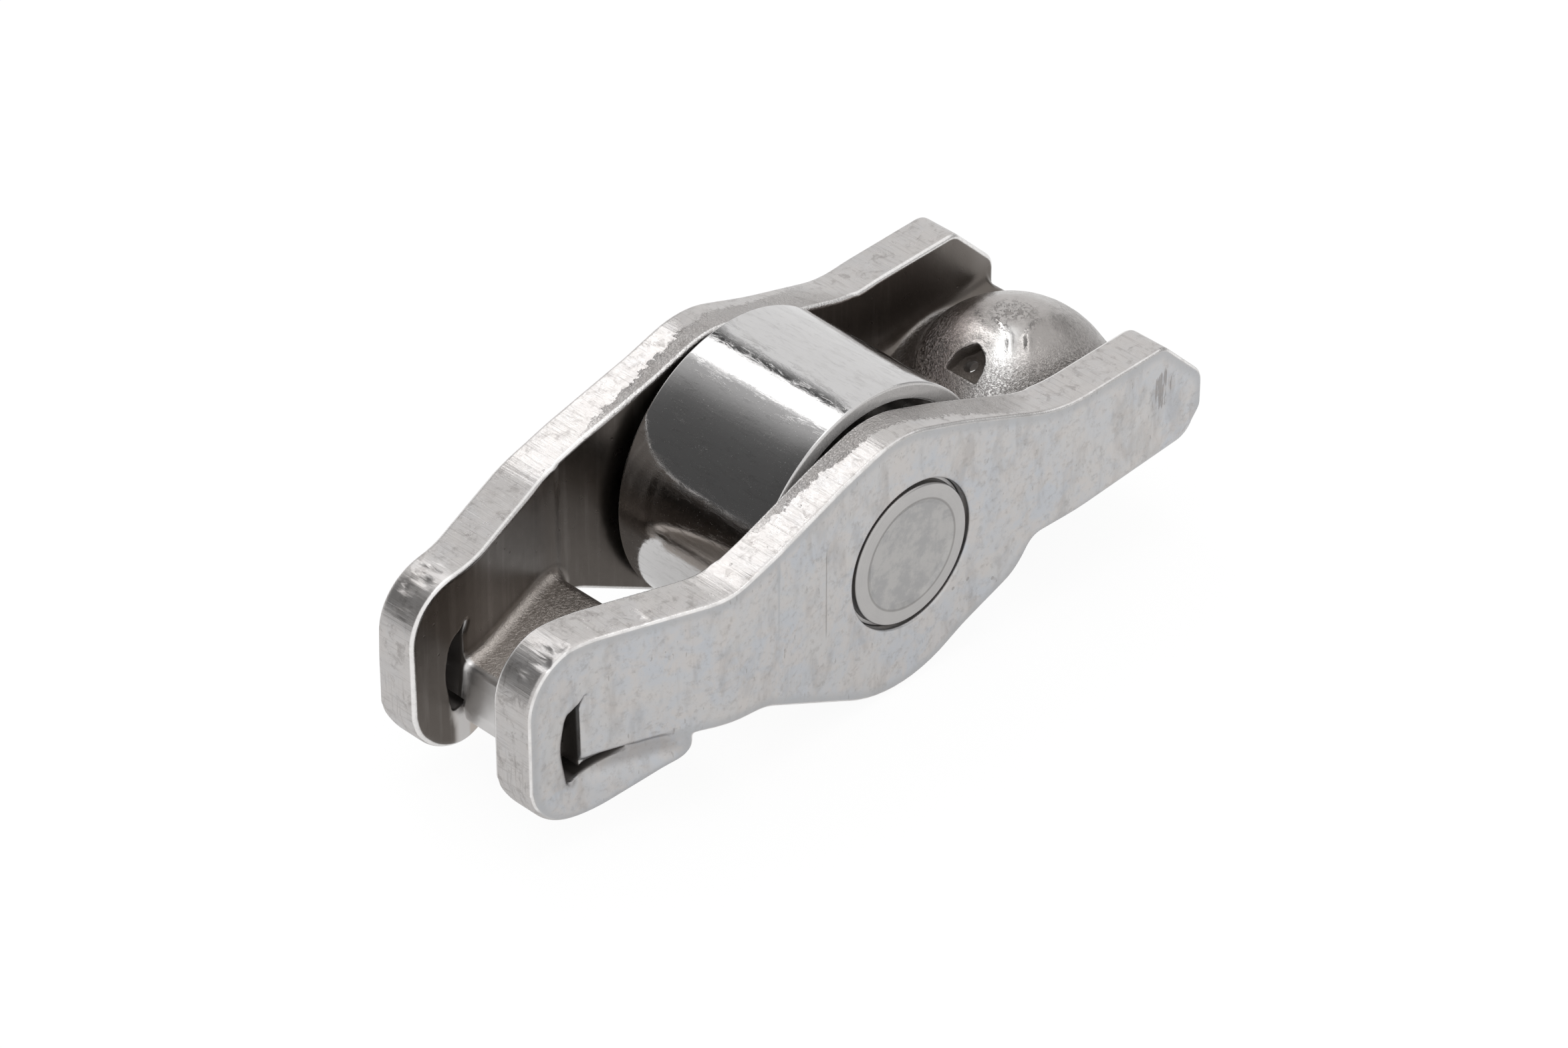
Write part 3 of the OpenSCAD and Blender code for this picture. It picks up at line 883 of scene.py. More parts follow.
@dataclass(frozen=True)
class TurnedSteel:
    """The pin's faced ends: dull grey with fine rings."""

    base: Colour = (0.47, 0.46, 0.45)
    dull: Colour = (0.39, 0.385, 0.385)
    rim: Colour = (0.49, 0.478, 0.47)
    # Painted shade line in the groove at the edge of the end's recess.
    dark: Colour = (0.2, 0.19, 0.18)
    disc_radius: float = 3.35
    rough: float = 0.36

    def material(self) -> bpy.types.Material:
        """Builds the node material."""
        p = Paint("turned_steel")
        mm = p.millimetres()
        radius = p.radius(mm)
        rings = p.noise(p.node("ShaderNodeCombineXYZ", {}, {"X": radius}), 6.0, 3.0, 0.7)
        cloud = p.noise(mm, 0.9, 6.0, 0.72)
        fine = p.noise(mm, 8.0, 3.0, 0.6)
        off_disc = radius.step(self.disc_radius - 0.1, self.disc_radius + 0.1)
        # Painted shade line in the groove at the recess's edge.
        disc_line = 1.0 - (radius - self.disc_radius).size().step(0.03, 0.09)
        colour = p.mix(cloud.step(0.4, 0.6), self.base, self.dull)
        colour = p.mix(off_disc * (rings * 0.8 + 0.4).clip(), colour, self.rim)
        colour = p.mix(disc_line * 0.5, colour, self.dark)
        rough = cloud * 0.12 - off_disc * 0.06 + (self.rough - 0.06)
        bump = p.bump(rings * (off_disc * 0.9 + 0.1) + fine * 0.3, 0.016)
        p.set(Base_Color=colour, Metallic=1.0, Roughness=rough.clip(), Normal=bump)
        return p.material


# The pieces


# Dents of the skin, each as a place from the axle, its reach and its depth
DENTS = [
    (-22.9, -5.3, 4.3, 0.50, 0.13),
    (-23.5, -4.9, 4.1, 0.50, 0.14),
    (-24.1, -5.4, 3.8, 0.50, 0.13),
    (-22.7, -6.1, 4.3, 0.45, 0.09),
    (-24.7, -4.9, 3.1, 0.60, 0.10),
    (-22.8, 4.2, 4.3, 0.50, 0.13),
    (-23.3, 4.9, 4.2, 0.50, 0.14),
    (-23.8, 4.1, 4.0, 0.50, 0.13),
    (-24.4, 4.9, 3.5, 0.55, 0.13),
    (-25.0, 4.3, 2.6, 0.60, 0.09),
    (-18.5, -6.6, 4.6, 0.60, 0.10),
    (-13.0, -8.6, 4.9, 1.20, 0.05),
]


class Grain:
    """Smooth seeded noise from -1 to 1."""

    def __init__(self, seed: int, size: int = 24) -> None:
        """Fills the lattice."""
        self.size = size
        self.lattice = np.random.default_rng(seed).uniform(-1, 1, (size, size, size)).astype(np.float32)

    def at(self, x: Array, y: Array, z: Array, pitch: float) -> Array:
        """Value at each point, with lumps about as wide as the pitch."""
        place = [np.asarray(v, np.float32) / pitch + 100.0 for v in (x, y, z)]
        whole = [np.floor(v).astype(int) for v in place]
        part = [v - w for v, w in zip(place, whole)]
        part = [t * t * (3 - 2 * t) for t in part]
        total = 0.0
        for i, j, k in SkinNet.CORNERS:
            share = 1.0
            for t, corner in zip(part, (i, j, k)):
                share = share * (t if corner else 1 - t)
            at = [(w + c) % self.size for w, c in zip(whole, (i, j, k))]
            total = total + share * self.lattice[at[0], at[1], at[2]]
        return total


GRAIN = Grain(seed=7)


@dataclass
class PressedArm:
    """The arm, pressed from one sheet: two walls, the valve pad between them and the drawn dome."""

    sheet: float = 2.8
    stem_gap: float = 6.2
    waist_top: float = 4.5
    nose_top: float = 4.3
    tail_top: float = 4.7
    plate_bottom: float = 3.7
    tail_bottom: float = 2.65
    tail_rise: float = 0.078
    belly_shift: float = 0.85
    hump_slope: float = math.radians(19)
    belly_slope: float = math.radians(27.5)
    lip_bottom: float = 7.1
    lip_length: float = 9.8
    strip_width: float = 2.4
    slot_height: float = 0.72
    slot_end: float = 3.4
    slot_top: float = 0.65
    pad_thick: float = 3.8
    pad_top: float = 1.65
    pad_under_radius: float = 18.0
    pad_side_gap: float = 0.22
    pad_roller_gap: float = 3.5
    web_roller_gap: float = 1.75
    pivot: Corner = (16.8, 0.0, -1.75)
    ball_radius: float = 4.0
    dome_radius: float = 6.4
    dome_drop: float = 0.9
    crown_height: float = 5.4
    oil_radius: float = 0.4
    pit_width: float = 2.5
    bore_clearance: float = 0.02
    bore_rim: float = 0.16
    pocket_depth: float = 0.12
    die_roll: float = 0.26
    sheared: float = 0.25
    fold_depth: float = 0.42
    bend: float = 1.0
    past_ends: float = 6.0
    taper_radius: float = 7.0
    shoulder_radius: float = 12.0
    flank_radius: float = 16.0
    nose_radius: float = 3.4
    hump_radius: float = 6.3
    belly_radius: float = 8.5
    foot_radius: float = 9.0
    tail_radius: float = 1.9
    lip_radius: float = 3.9
    pad_fillet: float = 0.8
    web_fillet: float = 1.1
    dome_fillet: float = 1.0
    tail_edge: float = 0.2
    seat_edge: float = 0.12
    pit_edge: float = 0.1
    hollow_depth: float = 0.09
    ridge_height: float = 0.12
    ridge_width: float = 0.22
    grain_height: float = 0.010
    grain_pitch: float = 0.40
    rim_height: float = 0.03
    rim_width: float = 0.10
    probe: float = 0.02
    grid: float = 0.13
    quick_grid: float = 0.24
    net_margin: float = 0.4
    most_triangles: int = 190_000
    low: Array = field(init=False)
    high: Array = field(init=False)

    def __post_init__(self) -> None:
        """Works out what follows from the sizes and lays out the outlines."""
        low, high = box_mm("arm_body")
        self.low = low - AXLE
        self.high = high - AXLE
        roller_low, roller_high = box_mm("cam_roller")
        roller_radius = (roller_high - roller_low)[0] / 2
        pin_low, pin_high = box_mm("axle_pin")
        self.pin_radius = (pin_high - pin_low)[0] / 2
        self.axle_half = (pin_high - pin_low)[1] / 2
        self.nose = -self.low[0]
        self.tail = self.high[0]
        self.pad_front = -(self.nose - self.strip_width - 1.2)
        self.pad_rear = -(roller_radius + self.pad_roller_gap)
        self.web_front = roller_radius + self.web_roller_gap
        self.lip_rear = -(self.nose - self.lip_length)
        self.plan = Outline(self._plan_corners(), margin=4.0)
        self.side = Outline(self._side_corners())
        self.lip = Outline(self._lip_corners())
        self.window = Outline(self._window_corners())
        self.pad = Outline(self._pad_corners())
        self.web = Outline(self._web_corners())
        self.pit = Outline(self._pit_corners(), margin=4.0)

    def tail_at(self, x: Array | float) -> Array | float:
        """Height of the pivot end's bottom edge at x."""
        return -self.tail_bottom - self.tail_rise * (self.tail - x)

    def _plan_corners(self) -> list[Corner]:
        """The outer face's path in plan, closed far inside the arm."""
        nose_half = self.stem_gap / 2 + self.sheet
        shoulder_half = self.axle_half + 0.3
        tail_half = self.high[1]
        taper_rear = self.pad_rear - 1.75
        return [
            (-self.nose - self.past_ends, nose_half, 0),
            (-self.nose + 3.9, nose_half, self.taper_radius),
            (taper_rear, shoulder_half, self.taper_radius),
            (taper_rear + 3.4, shoulder_half, self.shoulder_radius),
            (taper_rear + 9, self.axle_half, self.shoulder_radius),
            (self.pin_radius - 0.5, self.axle_half, self.flank_radius),
            (self.web_front + 2, tail_half - 0.1, self.flank_radius),
            (self.tail + self.past_ends, tail_half, 0),
            (self.tail + self.past_ends, -self.past_ends, 0),
            (-self.nose - self.past_ends, -self.past_ends, 0),
        ]

    def _side_corners(self) -> list[Corner]:
        """Side view of a wall without its lip: hump and belly round the axle and a sloped tail."""
        hump_peak = self.high[2] + self.hump_radius * (1 / math.cos(self.hump_slope) - 1)
        belly_peak = -self.low[2] + self.belly_radius * (1 / math.cos(self.belly_slope) - 1)
        hump_run = (hump_peak - self.waist_top) / math.tan(self.hump_slope)
        belly_run = (belly_peak - self.plate_bottom - 0.35) / math.tan(self.belly_slope)
        shoulder = self.web_front - 1.4
        return [
            (-self.nose, self.nose_top, self.nose_radius),
            (-self.belly_shift - hump_run - 1.5, self.waist_top - 0.02, self.foot_radius),
            (-self.belly_shift, hump_peak, self.hump_radius),
            (-self.belly_shift + hump_run, self.waist_top, self.foot_radius),
            (self.tail - self.tail_top + 1.5, self.tail_top, 1.3),
            (self.tail, 1.5, 1.4),
            (self.tail, -self.tail_bottom, self.tail_radius),
            (shoulder, self.tail_at(shoulder), 1),
            (shoulder - 1.5, self.tail_at(shoulder) - 1.55, 3.5),
            (-self.belly_shift, -belly_peak, self.belly_radius),
            (-self.belly_shift - belly_run, -self.plate_bottom - 0.35, 4),
            (self.lip_rear + 0.4, -self.plate_bottom, 2),
            (-self.nose, -self.plate_bottom, 0),
        ]

    def _lip_corners(self) -> list[Corner]:
        """Side view of the lip under the valve end."""
        top = self.nose_top - 4
        return [
            (-self.nose, top, 0),
            (self.lip_rear - 4, top, 0),
            (self.lip_rear, -self.plate_bottom + 0.1, 0),
            (self.lip_rear + 0.05, -self.plate_bottom - 1.35, 1.5),
            (-self.nose, -self.lip_bottom - 1.8, self.lip_radius),
        ]

    def _window_corners(self) -> list[Corner]:
        """The window that parts lip and wall: a standing slot and a lying one that closes to a crease."""
        front = -(self.nose - self.strip_width)
        floor = -self.plate_bottom - self.slot_height
        return [
            (self.pad_front + 0.35, self.slot_top + 0.15, 0),
            (front + 0.35, self.slot_top - 0.45, 1.2),
            (front - 0.1, -self.plate_bottom / 2, 4),
            (front + 0.35, floor, 0.25),
            (self.lip_rear - self.slot_end, -self.plate_bottom + 0.10, 0),
            (self.lip_rear - self.slot_end, -self.plate_bottom + 0.18, 0),
            (self.pad_front + 0.1, -self.plate_bottom - 0.22, 0.15),
            (self.pad_front, self.slot_top - 0.5, 0.3),
        ]

    def _pad_corners(self) -> list[Corner]:
        """Side view of the pad over its curved underside."""
        floor = -self.pad_top - self.pad_thick
        return [
            (self.pad_front, -self.pad_top, 0.35),
            (self.pad_rear - 3, -self.pad_top - 0.25, 5),
            (self.pad_rear, -self.pad_top - 0.55, 1.2),
            (self.pad_rear, floor - 1, 0),
            (self.pad_front - 0.2, floor - 1, 0),
            (self.pad_front - 0.2, floor, 0.3),
            (self.pad_front - 0.5, -self.pad_top - 2.5, 0.8),
            (self.pad_front - 0.1, -self.pad_top - 0.9, 0.12),
        ]

    def _web_corners(self) -> list[Corner]:
        """Side view of the bottom between the walls at the pivot end."""
        top_front = self.sheet + self.tail_at(self.web_front)
        return [
            (self.web_front, self.tail_at(self.web_front), 0.5),
            (self.tail, -self.tail_bottom, 1.6),
            (self.tail, self.sheet - self.tail_bottom, 0.7),
            (self.web_front, top_front, 0.6),
        ]

    def _pit_corners(self) -> list[Corner]:
        """The three-cornered pit round the oil hole, seen along the hole; two of its sides bulge."""
        foot = -0.32 * self.pit_width
        left = 0.31 * self.pit_width
        right = -0.58 * self.pit_width
        return [
            (foot, left, 0.12),
            (0.3, left - 0.05, 1.0),
            (0.52 * self.pit_width, -0.1, 0.35),
            (0.75, right + 0.28, 1.0),
            (-0.1, right, 0.8),
            (foot, right, 0.12),
        ]

    def _parts(self, x: Array, y: Array, z: Array) -> dict[str, Array]:
        """Distances to the faces that the arm is made of, at places that broadcast together."""
        side = np.abs(y)
        outer = self.plan.distance(x, side)
        edge = either(self.side.distance(x, z), self.lip.distance(x, z), 0.25)
        edge = np.maximum(edge, -self.nose - x)
        pocket = ramp(x, self.pad_rear - 0.5, self.pad_rear + 0.1)
        pocket = pocket * ramp(x, self.web_front + 0.7, self.web_front + 0.1)
        inner = -outer - self.sheet + self.pocket_depth * pocket
        return {"outer": outer, "edge": edge, "inner": inner, "window": self.window.distance(x, z)}

    def _fold(self, x: Array, z: Array) -> Array:
        """How far the outer face is set back along the crease over the lip."""
        above = z + self.plate_bottom - 0.12
        width = np.where(above > 0, 0.35, 1.1)
        run = ramp(x, self.lip_rear - 0.4, self.lip_rear - 2.0)
        run = run * ramp(x, self.pad_front - 1.0, self.pad_front + 0.5)
        return self.fold_depth * run * np.exp(-((above / width) ** 2))

    def _wall(self, x: Array, y: Array, z: Array, f: dict[str, Array]) -> Array:
        """Both walls with their lips, windows and rounded edges."""
        bent = ramp(x, self.web_front - 2.5, self.web_front - 0.5) * ramp(z, -0.4, -1.6)
        nosed = ramp(x, -self.nose + 5, -self.nose + 1.5) * ramp(z, -1, 2)
        lipped = ramp(z, -4.2, -5.6) * ramp(x, self.lip_rear + 1.0, self.lip_rear - 1.0)
        outside = self.die_roll + (self.bend - self.die_roll) * bent + 0.15 * nosed + 0.4 * lipped
        inside = self.sheared + 0.32 * ramp(z, -4.4, -5.6) * ramp(x, self.lip_rear + 3, self.lip_rear)
        wall = both(f["outer"] + self._fold(x, z), f["edge"], outside)
        wall = both(wall, f["inner"], inside)
        soft = 0.12 + 0.3 * ramp(x, self.pad_front - 0.2, self.pad_front + 0.4) * ramp(z, -3.95, -3.75)
        soft = soft + 0.25 * ramp(x, self.pad_front - 0.5, self.pad_front - 0.9) * ramp(y, 0.0, -1.0)
        return both(wall, -f["window"], soft)

    def _pad(self, x: Array, z: Array, f: dict[str, Array]) -> Array:
        """The pad, joined to the walls over the lips and free of the lips under them."""
        floor = -self.pad_top - self.pad_thick
        centre_x = (self.pad_front + self.pad_rear) / 2 - 0.6
        under = np.hypot(x - centre_x, z - floor - self.pad_under_radius + 0.35) - self.pad_under_radius
        profile = both(self.pad.distance(x, z), under, 0.25)
        free = both(profile, f["outer"] + self.sheet + self.pad_side_gap, 0.3)
        joined = both(np.maximum(profile, f["outer"] + self.sheet / 2), -self.plate_bottom - z, 0.1)
        return np.minimum(free, joined)

    def _dome(self, x: Array, y: Array, z: Array) -> Array:
        """The drawn dome's outside, with its flat crown."""
        px, _, pz = self.pivot
        ball = np.sqrt((x - px) ** 2 + y**2 + (z - pz + self.dome_drop) ** 2) - self.dome_radius
        crown = z - pz - self.crown_height
        foot = self.tail_at(px) + self.sheet / 2 - z
        return np.maximum(both(ball, crown, 0.3), foot)

    def _seat(self, x: Array, y: Array, z: Array) -> Array:
        """The room for the pivot ball, open downwards, with a broken rim."""
        px, _, pz = self.pivot
        flat = np.hypot(x - px, y)
        ball = np.hypot(flat, z - pz) - self.ball_radius
        mouth = np.maximum(flat - self.ball_radius, z - pz)
        rim = (flat - self.ball_radius + z - self.tail_at(px) - 0.35) * SLANT
        return np.minimum(np.minimum(ball, mouth), rim)

    def _oil(self, x: Array, y: Array, z: Array) -> Array:
        """The oil hole and the pit that it opens into."""
        px, _, pz = self.pivot
        up = (x - px) * SLANT + (z - pz) * SLANT
        out = -(x - px) * SLANT + (z - pz) * SLANT
        hole = np.maximum(np.hypot(up, y) - self.oil_radius, -out)
        floor = np.maximum(self.ball_radius + 0.42, self.ball_radius + 0.7 - 0.5 * up)
        return np.minimum(hole, both(self.pit.distance(up, y), floor - out, 0.1))

    def solid(self, x: Array, y: Array, z: Array) -> Array:
        """Distance to the whole arm's surface before dents and grain.

        Args:
            x: First coordinate from the axle; the three broadcast together.
            y: Second coordinate.
            z: Third coordinate.

        Returns:
            The distance, negative inside the metal.
        """
        f = self._parts(x, y, z)
        arm = self._wall(x, y, z, f)
        over_lip = ramp(z, -self.plate_bottom - 0.1, -self.plate_bottom + 0.5)
        short_of_end = ramp(x, self.tail, self.tail - 0.8)
        arm = either(arm, self._pad(x, z, f), self.pad_fillet * over_lip)
        web = np.maximum(self.web.distance(x, z), f["outer"] + self.sheet / 2)
        arm = either(arm, web, self.web_fillet * ramp(z, -1.6, -0.3) * short_of_end)
        arm = either(arm, self._dome(x, y, z), self.dome_fillet * short_of_end)
        arm = both(arm, x - self.tail, self.tail_edge)
        arm = both(arm, -self._seat(x, y, z), self.seat_edge)
        arm = both(arm, -self._oil(x, y, z), self.pit_edge)
        bore = np.hypot(x, z) - self.pin_radius - self.bore_clearance
        return both(arm, -bore, self.bore_rim)

    def detail(self, x: Array, y: Array, z: Array) -> Array:
        """Distance to the surface with its dents, ridges and coarse grain, at single points."""
        px, _, pz = self.pivot
        arm = self.solid(x, y, z)
        for cx, cy, cz, reach, depth in DENTS:
            near = np.sqrt((x - cx) ** 2 + (y - cy) ** 2 + (z - cz) ** 2) / reach
            arm = arm + depth * (1 - ramp(near, 0.15, 1.0))
        on_dome = self._dome_share(x, y, z)
        arm = arm + on_dome * self._worn(x, y, z)
        arm = arm - on_dome * self.grain_height * GRAIN.at(x, y, z, self.grain_pitch)
        rim = np.exp(-(((self.pit.distance(*self._pit_place(x, y, z)) - 0.08) / self.rim_width) ** 2))
        near_pit = ramp(z, pz + 1.5, pz + 3.0) * ramp(x, px, px - 2.0)
        return arm - self.rim_height * rim * on_dome * near_pit

    def _worn(self, x: Array, y: Array, z: Array) -> Array:
        """Depth of the hollow down the dome's near side, less the two ridges beside it."""
        facing, across = self._dome_place(x, y)
        across = across - 0.3
        spread = 0.5 + 0.42 * np.maximum(2.0 - facing, 0.0)
        upper = ramp(facing, 0.0, 1.0) * ramp(facing, 3.6, 2.2) * ramp(z - self.pivot[2], 2.5, 4.0)
        hollow = self.hollow_depth * np.exp(-((across / (0.8 * spread)) ** 4)) * ramp(facing, 4.6, 3.0)
        ridges = self.ridge_height * np.exp(-(((np.abs(across) - spread) / self.ridge_width) ** 2))
        return upper * (hollow - ridges)

    def _dome_place(self, x: Array, y: Array) -> tuple[Array, Array]:
        """Place on the dome in plan: towards the near side of the valve end, and across that."""
        px = self.pivot[0]
        return (px - x - y) * SLANT, (x - px - y) * SLANT

    def _pit_place(self, x: Array, y: Array, z: Array) -> tuple[Array, Array]:
        """Place along the oil hole's own two cross axes."""
        px, _, pz = self.pivot
        return ((x - px) + (z - pz)) * SLANT, y

    def _dome_share(self, x: Array, y: Array, z: Array) -> Array:
        """1 on the drawn dome and the fillet at its foot, 0 on the walls and the end face."""
        clear = ramp(self._seat(x, y, z), 0.3, 0.8) * ramp(x, self.tail - 0.1, self.tail - 0.5)
        return ramp(self._dome(x, y, z), 0.8, 0.15) * clear

    def _sheen(self, x: Array, y: Array) -> Array:
        """1 along the painted highlight band that runs down the dome beside the pit, 0 away from it."""
        facing, across = self._dome_place(x, y)
        middle = -0.25 - 0.38 * np.maximum(facing - 1.9, 0.0)
        width = 0.55 + 0.25 * np.maximum(facing - 2.5, 0.0)
        return np.exp(-(((across - middle) / width) ** 2)) * ramp(facing, 0.8, 1.8)

    def _sunk(self, x: Array, y: Array, z: Array) -> Array:
        """1 inside the pit and the oil hole, 0 elsewhere."""
        px, _, pz = self.pivot
        out = ((z - pz) - (x - px)) * SLANT
        inside = ramp(self.pit.distance(*self._pit_place(x, y, z)), 0.12, 0.0)
        inside = inside * ramp(self._dome(x, y, z), -0.06, -0.2)
        return inside * ramp(out, self.ball_radius - 0.3, self.ball_radius)

    def depths(self, points: Array) -> dict[str, Array]:
        """How far each point lies from the faces that its finish depends on.

        Args:
            points: Points on the surface, one a row.

        Returns:
            One value for each point, in millimetres or as a share, by attribute name.
        """
        x, y, z = points.T
        px, _, pz = self.pivot
        f = self._parts(x, y, z)
        facing, across = self._dome_place(x, y)
        # The seat cavity gets painted shade.
        in_seat = ramp(self._seat(x, y, z), 0.3, 0.12) * ramp(x, self.tail - 0.1, self.tail - 0.5)
        return {
            "from_outside": -f["outer"],
            "from_inside": -f["inner"],
            "from_edge": -f["edge"],
            "from_window": f["window"],
            "drawn": self._dome_share(x, y, z),
            "on_pad": ramp(self.pad.distance(x, z), 0.7, 0.1),
            "sunk": self._sunk(x, y, z),
            # The sheen band is a painted highlight; the right side and the hidden side of the dome get
            # painted shade.
            "sheen": self._sheen(x, y),
            "right_shade": ramp(across, 0.4, 1.3) * ramp(facing, -1.0, 0.6),
            "shaded_side": ramp((x - px) * 0.55 - y, -0.6, -3.6) * ramp(y, 6.5, 5.9),
            "crown": ramp(z - pz, self.crown_height - 0.16, self.crown_height - 0.05),
            "in_seat": in_seat * ramp(z, self.tail_at(px), self.tail_at(px) + 0.6),
        }

    def build(self) -> bpy.types.Object:
        """Meshes the arm and hands back its object."""
        step = self.grid
        net = SkinNet(self.solid, self.low - self.net_margin, self.high + self.net_margin, step)
        vertices, quads = net.mesh()
        vertices = net.settle(vertices)
        piece = mesh_object("pressed_arm", vertices, quads)
        triangles = 2 * len(quads)
        if triangles > self.most_triangles:
            thin = piece.modifiers.new("thin", "DECIMATE")
            thin.ratio = self.most_triangles / triangles
            piece = baked(piece)
        net.solid = self.detail
        points = net.settle(points_of(piece), 3)
        move_points(piece, points)
        for name, values in self.depths(points).items():
            layer = piece.data.attributes.new(name, "FLOAT", "POINT")
            layer.data.foreach_set("value", values.astype(np.float32))
        normals = net.gradient(points, self.probe)
        piece.data.normals_split_custom_set_from_vertices(normals.tolist())
        return piece

    def dress(self, piece: bpy.types.Object) -> None:
        """Gives the arm its finish and its place in the frame."""
        piece.data.materials.append(TumbledSteel().material())
        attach(piece, Body.ARM.value)
        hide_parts("arm_body")


@dataclass
class Axle:
    """The fixed pin with a shallow turned recess in each end."""

    groove: float = 0.24
    groove_depth: float = 0.6
    pin_edge: float = 0.16
    recess_depth: float = 0.15
    recess_share: float = 0.37
    segments: int = 192

    def build(self) -> bpy.types.Object:
        """Turns the pin."""
        low, high = box_mm("axle_pin")
        radius = (high - low)[0] / 2
        half = (high - low)[1] / 2
        recess = 2 * self.recess_share * radius
        end = [
            (0.0, half - self.recess_depth, 0.0),
            (recess - 0.3, half - self.recess_depth, 0.12),
            (recess, half, 0.1),
            (radius - self.groove, half, self.pin_edge),
            (radius - self.groove, half - self.groove_depth, 0.05),
            (radius, half - self.groove_depth, 0.05),
        ]
        outline = [(p[0], p[1]) for p in end[:1]]
        for a, p, b in zip(end, end[1:], end[2:] + [(radius, 0.0, 0.0)]):
            outline += arc_corner(a, p, b, 12.0)
        mirrored = [(r, -along) for r, along in reversed(outline)]
        rings = [(radius, half * k / 3) for k in (1, 0, -1)]
        return lathe("turned_pin", outline + rings + mirrored, False, self.segments)

    def dress(self, piece: bpy.types.Object) -> None:
        """Gives the pin its finish and its place in the frame."""
        piece.data.materials.append(TurnedSteel().material())
        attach(piece, Body.ARM.value)
        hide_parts("axle_pin")


@dataclass
class RollerRing:
    """The ground ring that the cam runs on, very slightly crowned."""

    edge_radius: float = 0.17
    face_width: float = 0.9
    face_step: float = 0.2
    race_chamfer: float = 0.4
    crown: float = 0.012
    segments: int = 256

    def build(self, race_radius: float) -> bpy.types.Object:
        """Turns the ring.

        Args:
            race_radius: Radius of the race inside the ring.

        Returns:
            The new object.
        """
        low, high = box_mm("cam_roller")
        radius = (high - low)[0] / 2
        half = (high - low)[1] / 2
        face = radius - self.face_width
        floor = half - self.face_step
        end = [
            (radius, half, self.edge_radius),
            (face, half, 0.05),
            (face - 0.12, floor, 0.05),
            (race_radius + self.race_chamfer, floor, 0.12),
            (race_radius, floor - self.race_chamfer, 0.1),
        ]
        corners = [(r, -along, rounding) for r, along, rounding in reversed(end)] + end
        profile: list[Point] = []
        for i, corner in enumerate(corners):
            profile += arc_corner(corners[i - 1], corner, corners[(i + 1) % len(corners)], 8.0)
            if i == len(end) - 1:
                steps = 8
                span = 2 * (half - self.edge_radius)
                stations = [-span / 2 + span * k / steps for k in range(1, steps)]
                profile += [(radius, at) for at in stations]
        bowed = [(r - self.crown * (at / half) ** 2 if r > radius - 0.2 else r, at) for r, at in profile]
        return lathe("ground_ring", bowed[::-1], True, self.segments)

    def dress(self, piece: bpy.types.Object) -> None:
        """Gives the ring its finish and its place in the frame."""
        piece.data.materials.append(GroundSteel().material())
        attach(piece, Body.ROLLER.value)
        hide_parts("cam_roller")


